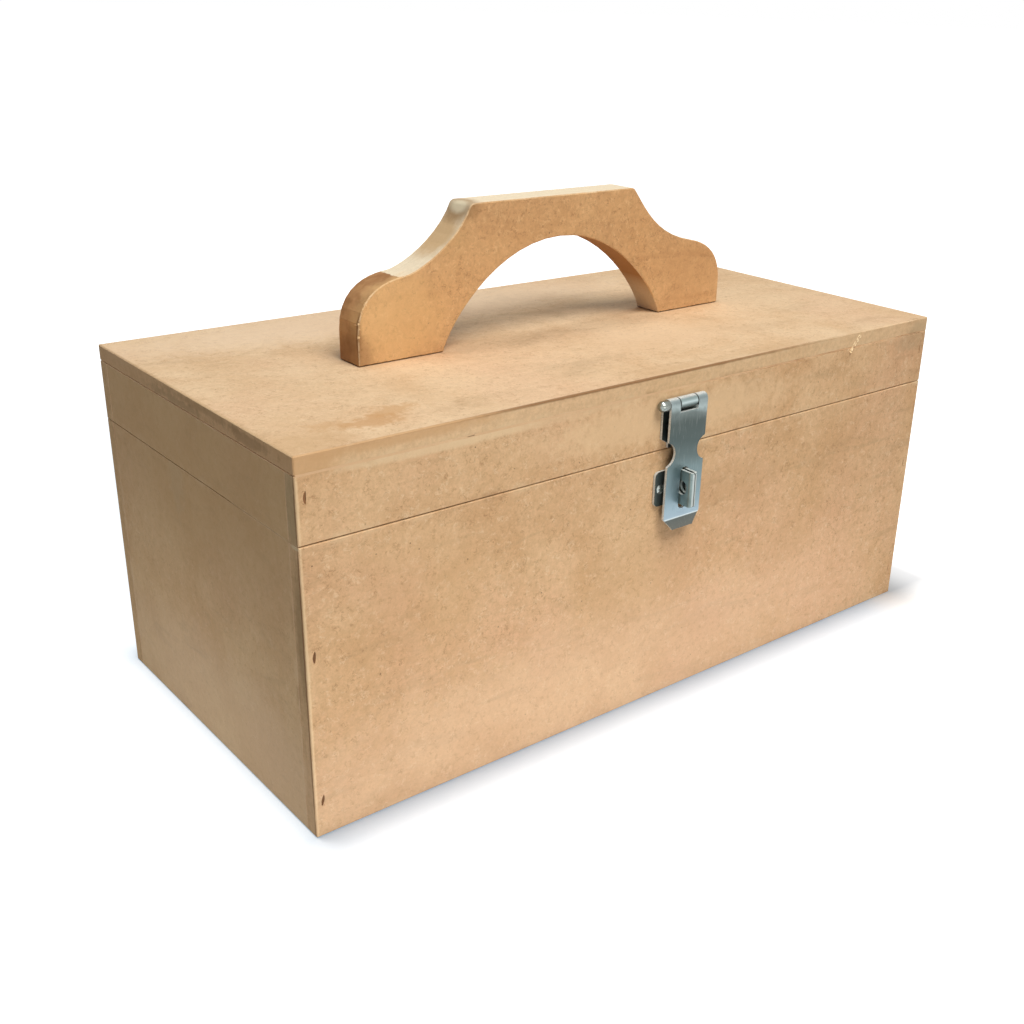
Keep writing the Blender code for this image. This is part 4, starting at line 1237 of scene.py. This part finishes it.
@dataclass
class CarryHandle:
    """The arched handle, with frayed fibres along its left foot's front edge.

    The long fibre's root is measured along X from the handle's left end.
    """

    finish: HandleFinish = HandleFinish()
    scorched_to: float = -0.1090
    scorched_right: float = 20 * MM
    arch: Range = (-80.5 * MM, 87.5 * MM)
    edge_front: float = -6.6 * MM
    edge_left: float = -0.112
    edge_above: float = 0.205
    edge_reach: float = 4 * MM
    edge_room: float = 2.5 * MM
    frayed: Range = (0.206, 0.246)
    fibres: int = 46
    aims: tuple[Range, Range, Range] = ((-1.2, 0.3), (-0.7, -0.1), (-1.3, 1.3))
    widths: Range = (0.4, 0.8)
    lift: Point = (0.0, -0.1 * MM, 0.1 * MM)
    inside: Point = (0.25 * MM, 0.05 * MM, 0.0)
    long_root: Point = (0.9 * MM, -7.3 * MM, 0.2225)
    long_aim: Point = (-2.2 * MM, -0.6 * MM, 0.5 * MM)
    long_lift: float = 0.3 * MM
    long_width: float = 0.5 * MM
    fibre: BoardFinish = BoardFinish(light=(244, 220, 176), dark=(230, 196, 146),
                                     blush=(236, 204, 158), contrast=0.3)

    def build(self) -> None:
        """Builds the frayed fibres, and one long one at the shoulder."""
        rng = np.random.default_rng(16)
        left = self._front_edge()
        bm = bmesh.new()
        for _ in range(self.fibres):
            height = rng.uniform(*self.frayed)
            near = min(left, key=lambda p: abs(p.z - height))
            higher = (p for p in left if p.z >= near.z and p is not near)
            above = min(higher, key=lambda p: (p - near).length, default=near)
            root = near.lerp(above, rng.uniform(0, 1)) + Vector(self.inside)
            aim = Vector([rng.uniform(*reach) for reach in self.aims]) * MM
            sliver(bm, root, root + aim, Vector(self.lift), rng.uniform(*self.widths) * MM)
        root = Vector((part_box("carry_handle")[0].x, 0, 0)) + Vector(self.long_root)
        tip = root + Vector(self.long_aim)
        sliver(bm, root, tip, Vector((0, 0, self.long_lift)), self.long_width)
        finish = self.fibre.board("torn_fibre_handle", "carry_handle", Axis.Y)
        piece("frayed_fibres", bm, finish, Body.LID)

    def _front_edge(self) -> list[Vector]:
        """Finds the corners of the left foot's front edge.

        Returns:
            The corners, from the lowest up.
        """
        corners = sorted({(round(v.co.z, 5), round(v.co.x, 5), round(v.co.y, 5))
                          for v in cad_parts["carry_handle"].data.vertices
                          if v.co.y < self.edge_front and v.co.x < self.edge_left
                          and v.co.z > self.edge_above})
        return [Vector((x, y, z)) for z, x, y in corners
                if x < min(c[1] for c in corners if abs(c[0] - z) < self.edge_reach) + self.edge_room]

    def dress(self) -> None:
        """Gives the handle its finish."""
        low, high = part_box("carry_handle")
        ends = (self.scorched_to, high.x - self.scorched_right)
        finish = self.finish.handle("fibreboard_handle", ends, self.arch, low.z, HANDLE_MARKS)
        dress("carry_handle", finish)


@dataclass
class Hardware:
    """The hasp, the hinges, the screws and the wire staples."""

    toe: float = 0.1165
    # The flap's bands are painted highlights and reflections over the plating's tone: a dark toe with a
    # bright line at its bend, a lighter lower flap and light tops on the knuckles.
    flap_tone_and_highlights: tuple[tuple[float, Colour], ...] = (
        (112, (104, 106, 100)), (116, (96, 101, 97)), (116.4, (212, 222, 222)),
        (117.2, (154, 172, 182)), (124, (145, 165, 174)), (132, (129, 149, 155)),
        (148, (112, 130, 132)), (156, (90, 104, 104)), (164, (76, 88, 87)), (174, (78, 88, 86)),
        (180, (104, 114, 112)), (183.5, (152, 166, 166)), (186, (136, 148, 148)))
    # The leaf's bands paint a highlight across the middle knuckle, with a dark line under it.
    leaf_highlight_bands: tuple[tuple[float, Colour], ...] = (
        (158, (84, 96, 94)), (180, (84, 96, 94)), (181.5, (66, 74, 72)), (183, (104, 118, 116)),
        (184.5, (186, 202, 202)), (185.8, (136, 152, 150)), (187.1, (104, 118, 116)))
    leaf_toe: float = 1.0  # above the leaf, so its bands stay straight
    # Where the painted shade lines in the gaps between the knuckles stand.
    knuckle_gaps: Range = (-1.25 * MM, 12.05 * MM)
    knuckles_from: float = 0.1812
    tab: float = -114.9 * MM
    # Where the painted shade line between the tab's two layers stands.
    tab_middle: float = 5.4 * MM

    def dress(self) -> None:
        """Gives the metal its finishes: by slot first, then the hasp's own."""
        slots = {
            "zinc": ("zinc_sheet", ZincFinish()),
            "screw_zinc": ("zinc_screws", ZincFinish(
                dull=(150, 158, 152), bright=(206, 212, 206), roughness=0.22, edge_highlight=0.0)),
            "wire": ("staple_wire", ZincFinish(
                dull=(112, 74, 42), bright=(146, 102, 62), edge=(128, 90, 56), roughness=0.6,
                metallic=0.1, edge_highlight=0.3))}
        knuckled = {"seams": self.knuckle_gaps, "seams_from": self.knuckles_from}
        hasp = {
            "hasp_flap": ("zinc_flap", ZincFinish(bands=self.flap_tone_and_highlights, toe=self.toe, **knuckled)),
            "hasp_leaf": ("zinc_leaf", ZincFinish(
                bands=self.leaf_highlight_bands, toe=self.leaf_toe, **knuckled)),
            "hasp_pin": ("zinc_pin", ZincFinish(
                dull=(118, 124, 120), bright=(152, 158, 152), roughness=0.2, edge_highlight=0.0)),
            "staple_plate": ("zinc_folded", ZincFinish(
                dull=(118, 134, 132), bright=(138, 156, 154), metallic=0.6, tab=self.tab,
                seams=(self.tab_middle,)))}
        plain = {slot: finish.material(name) for slot, (name, finish) in slots.items()}
        for node, solid in sorted(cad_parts.items()):
            slot = solid.material_slots[0].name
            if slot in plain:
                dress(node, plain[slot])
        for node, (name, finish) in hasp.items():
            dress(node, finish.material(name))


def light_group(name: str, things: Iterable[Thing], state: str) -> bpy.types.Collection:
    """Makes a collection that a light takes in or leaves out.

    Args:
        name: The collection's name.
        things: What it holds.
        state: INCLUDE or EXCLUDE.

    Returns:
        The collection.
    """
    group = bpy.data.collections.new(name)
    for thing in things:
        group.objects.link(thing)
    for entry in group.collection_objects:
        entry.light_linking.link_state = state
    return group


@dataclass(frozen=True)
class Lamp:
    """An area light that leaves out the floor, or lights only it."""

    name: str
    place: Point
    size: Range
    power: float
    tint: Point
    aim: Point = (0.0, 0.0, 0.12)
    floor_only: bool = False

    def build(self, floor: Thing, unshaded: Sequence[str]) -> None:
        """Adds the light.

        Args:
            floor: The floor.
            unshaded: Nodes that cast no shadow on the floor from the floor's own light.
        """
        data = bpy.data.lights.new(self.name, "AREA")
        data.energy = self.power
        data.color = self.tint
        data.shape = "RECTANGLE"
        data.size, data.size_y = self.size
        lamp = bpy.data.objects.new(self.name, data)
        lamp.location = self.place
        aim = Vector(self.aim) - Vector(self.place)
        lamp.rotation_euler = aim.to_track_quat("-Z", "Y").to_euler()
        lamp.visible_camera = False
        bpy.context.scene.collection.objects.link(lamp)
        state = "INCLUDE" if self.floor_only else "EXCLUDE"
        linking = lamp.light_linking
        label = "floor_only" if self.floor_only else "lit_by_" + self.name
        linking.receiver_collection = light_group(label, [floor], state)
        if self.floor_only:
            nodes = [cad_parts[node] for node in unshaded]
            linking.blocker_collection = light_group("shade_for_" + self.name, nodes, "EXCLUDE")


@dataclass
class Studio:
    """A white floor, soft lights and the camera at the photograph's angle.

    The floor's glow is what the camera and a gloss see on top of its lit grey: dimmer and bluer
    in the shadow, against the board's warm bounce, and plain white far off.
    """

    floor_reach: float = 30.0
    floor_drop: float = 0.2 * MM
    floor_bounce: float = 0.37
    floor_seen: float = 0.7
    glow_near: Point = (0.25, 0.335, 0.41)
    glow_right: Point = (0.33, 0.335, 0.335)
    glow_turns: Range = (0.19, 0.225)
    right_end: Range = (0.225, 0.27)
    far_off: Range = (0.35, 1.2)
    world_strength: float = 0.12
    world_tint: Point = (0.96, 1.02, 1.12)
    camera_place: Point = (-0.4596, -0.5666, 0.3840)
    camera_turn_deg: Point = (66.876, -1.606, -39.842)
    lens: float = 43.12
    sensor: float = 36.0
    clip: float = 0.02
    shift: Range = (-0.0577, 0.0113)
    unshaded: tuple[str, ...] = ("hasp_flap", "hasp_leaf", "hasp_pin", "staple_plate")
    lamps: tuple[Lamp, ...] = (
        Lamp("key_light", (-0.05, -1.30, 2.35), (1.5, 1.5), 56.5, (1.0, 0.975, 0.94)),
        Lamp("top_soft", (-0.25, 0.35, 2.60), (0.5, 0.5), 9.4, (0.86, 1.0, 1.15)),
        Lamp("front_fill", (-0.40, -0.95, 0.06), (0.5, 0.5), 2.5, (1.0, 0.98, 0.95)),
        Lamp("front_card", (-0.02, -0.2125, 0.012), (0.46, 0.024), 0.085, (0.94, 1.0, 1.08),
             aim=(-0.02, -0.1125, 0.012)),
        Lamp("side_card", (-0.35, 0.0, 0.012), (0.20, 0.024), 0.034, (0.94, 1.0, 1.08),
             aim=(-0.23, 0.0, 0.012)),
        Lamp("floor_light", (-0.25, 0.0, 2.20), (0.22, 0.22), 46.0, (1.05, 1.0, 0.95),
             floor_only=True))

    def build(self) -> None:
        """Builds the floor, the lights, the world and the camera."""
        floor = self._floor()
        for lamp in self.lamps:
            lamp.build(floor, self.unshaded)
        self._world()
        self._camera()
        bpy.context.scene.view_settings.view_transform = "Standard"

    def _floor(self) -> Thing:
        """Builds a wide floor that is white to the camera and keeps the shadow.

        Returns:
            The floor.
        """
        bm = bmesh.new()
        bmesh.ops.create_grid(bm, x_segments=1, y_segments=1, size=self.floor_reach)
        mesh = bpy.data.meshes.new("floor")
        bm.to_mesh(mesh)
        bm.free()
        floor = bpy.data.objects.new("floor", mesh)
        bpy.context.scene.collection.objects.link(floor)
        floor.location.z = -self.floor_drop
        material, t = new_material("floor_white")
        path = t.add("LightPath").outputs
        seen = t.math("MAXIMUM", path["Is Camera Ray"], path["Is Glossy Ray"])
        bounce, lit = ((grey, grey, grey, 1.0) for grey in (self.floor_bounce, self.floor_seen))
        diffuse = t.add("BsdfDiffuse", {"Color": t.mix(seen, bounce, lit)})
        x = t.axes(t.place)["X"]
        right = t.step(x, *self.right_end, 0.0, 0.75)
        far = t.math("MAXIMUM", t.step(t.length(t.place), *self.far_off), right)
        shade = t.mix(t.step(x, *self.glow_turns), (*self.glow_near, 1.0), (*self.glow_right, 1.0))
        glow = t.add("Emission", {"Color": t.mix(far, shade, WHITE), "Strength": seen})
        both = t.add("AddShader", {0: diffuse.outputs[0], 1: glow.outputs[0]})
        t.add("OutputMaterial", {0: both.outputs[0]})
        floor.data.materials.append(material)
        return floor

    def _world(self) -> None:
        """Sets an even surround, white where the camera, glass or a gloss sees it."""
        world = bpy.data.worlds.new("surround")
        bpy.context.scene.world = world
        world.use_nodes = True
        world.node_tree.nodes.clear()
        t = Tree(world.node_tree)
        path = t.add("LightPath").outputs
        seen = t.math("MAXIMUM", path["Is Camera Ray"], path["Is Transmission Ray"])
        seen = t.math("MAXIMUM", seen, path["Is Glossy Ray"])
        strength = t.step(seen, 0.0, 1.0, self.world_strength, 1.0)
        tint = t.mix(seen, (*self.world_tint, 1.0), WHITE)
        background = t.add("Background", {"Color": tint, "Strength": strength})
        t.add("OutputWorld", {0: background.outputs[0]})

    def _camera(self) -> None:
        """Puts the camera at the photograph's place."""
        data = bpy.data.cameras.new("camera")
        data.lens = self.lens
        data.sensor_width = self.sensor
        data.shift_x, data.shift_y = self.shift
        data.clip_start = self.clip
        camera = bpy.data.objects.new("camera", data)
        camera.location = self.camera_place
        camera.rotation_euler = [math.radians(a) for a in self.camera_turn_deg]
        bpy.context.scene.collection.objects.link(camera)
        bpy.context.scene.camera = camera


def main() -> None:
    """Builds the studio, then builds and dresses each sub-assembly in turn."""
    logging.basicConfig(level=logging.INFO, format="%(message)s")
    Effects().build()
    Studio().build()
    for part in (Case(), Lid(), CarryHandle()):
        part.build()
        part.dress()
    Hardware().dress()


if __name__ == "__main__":
    main()
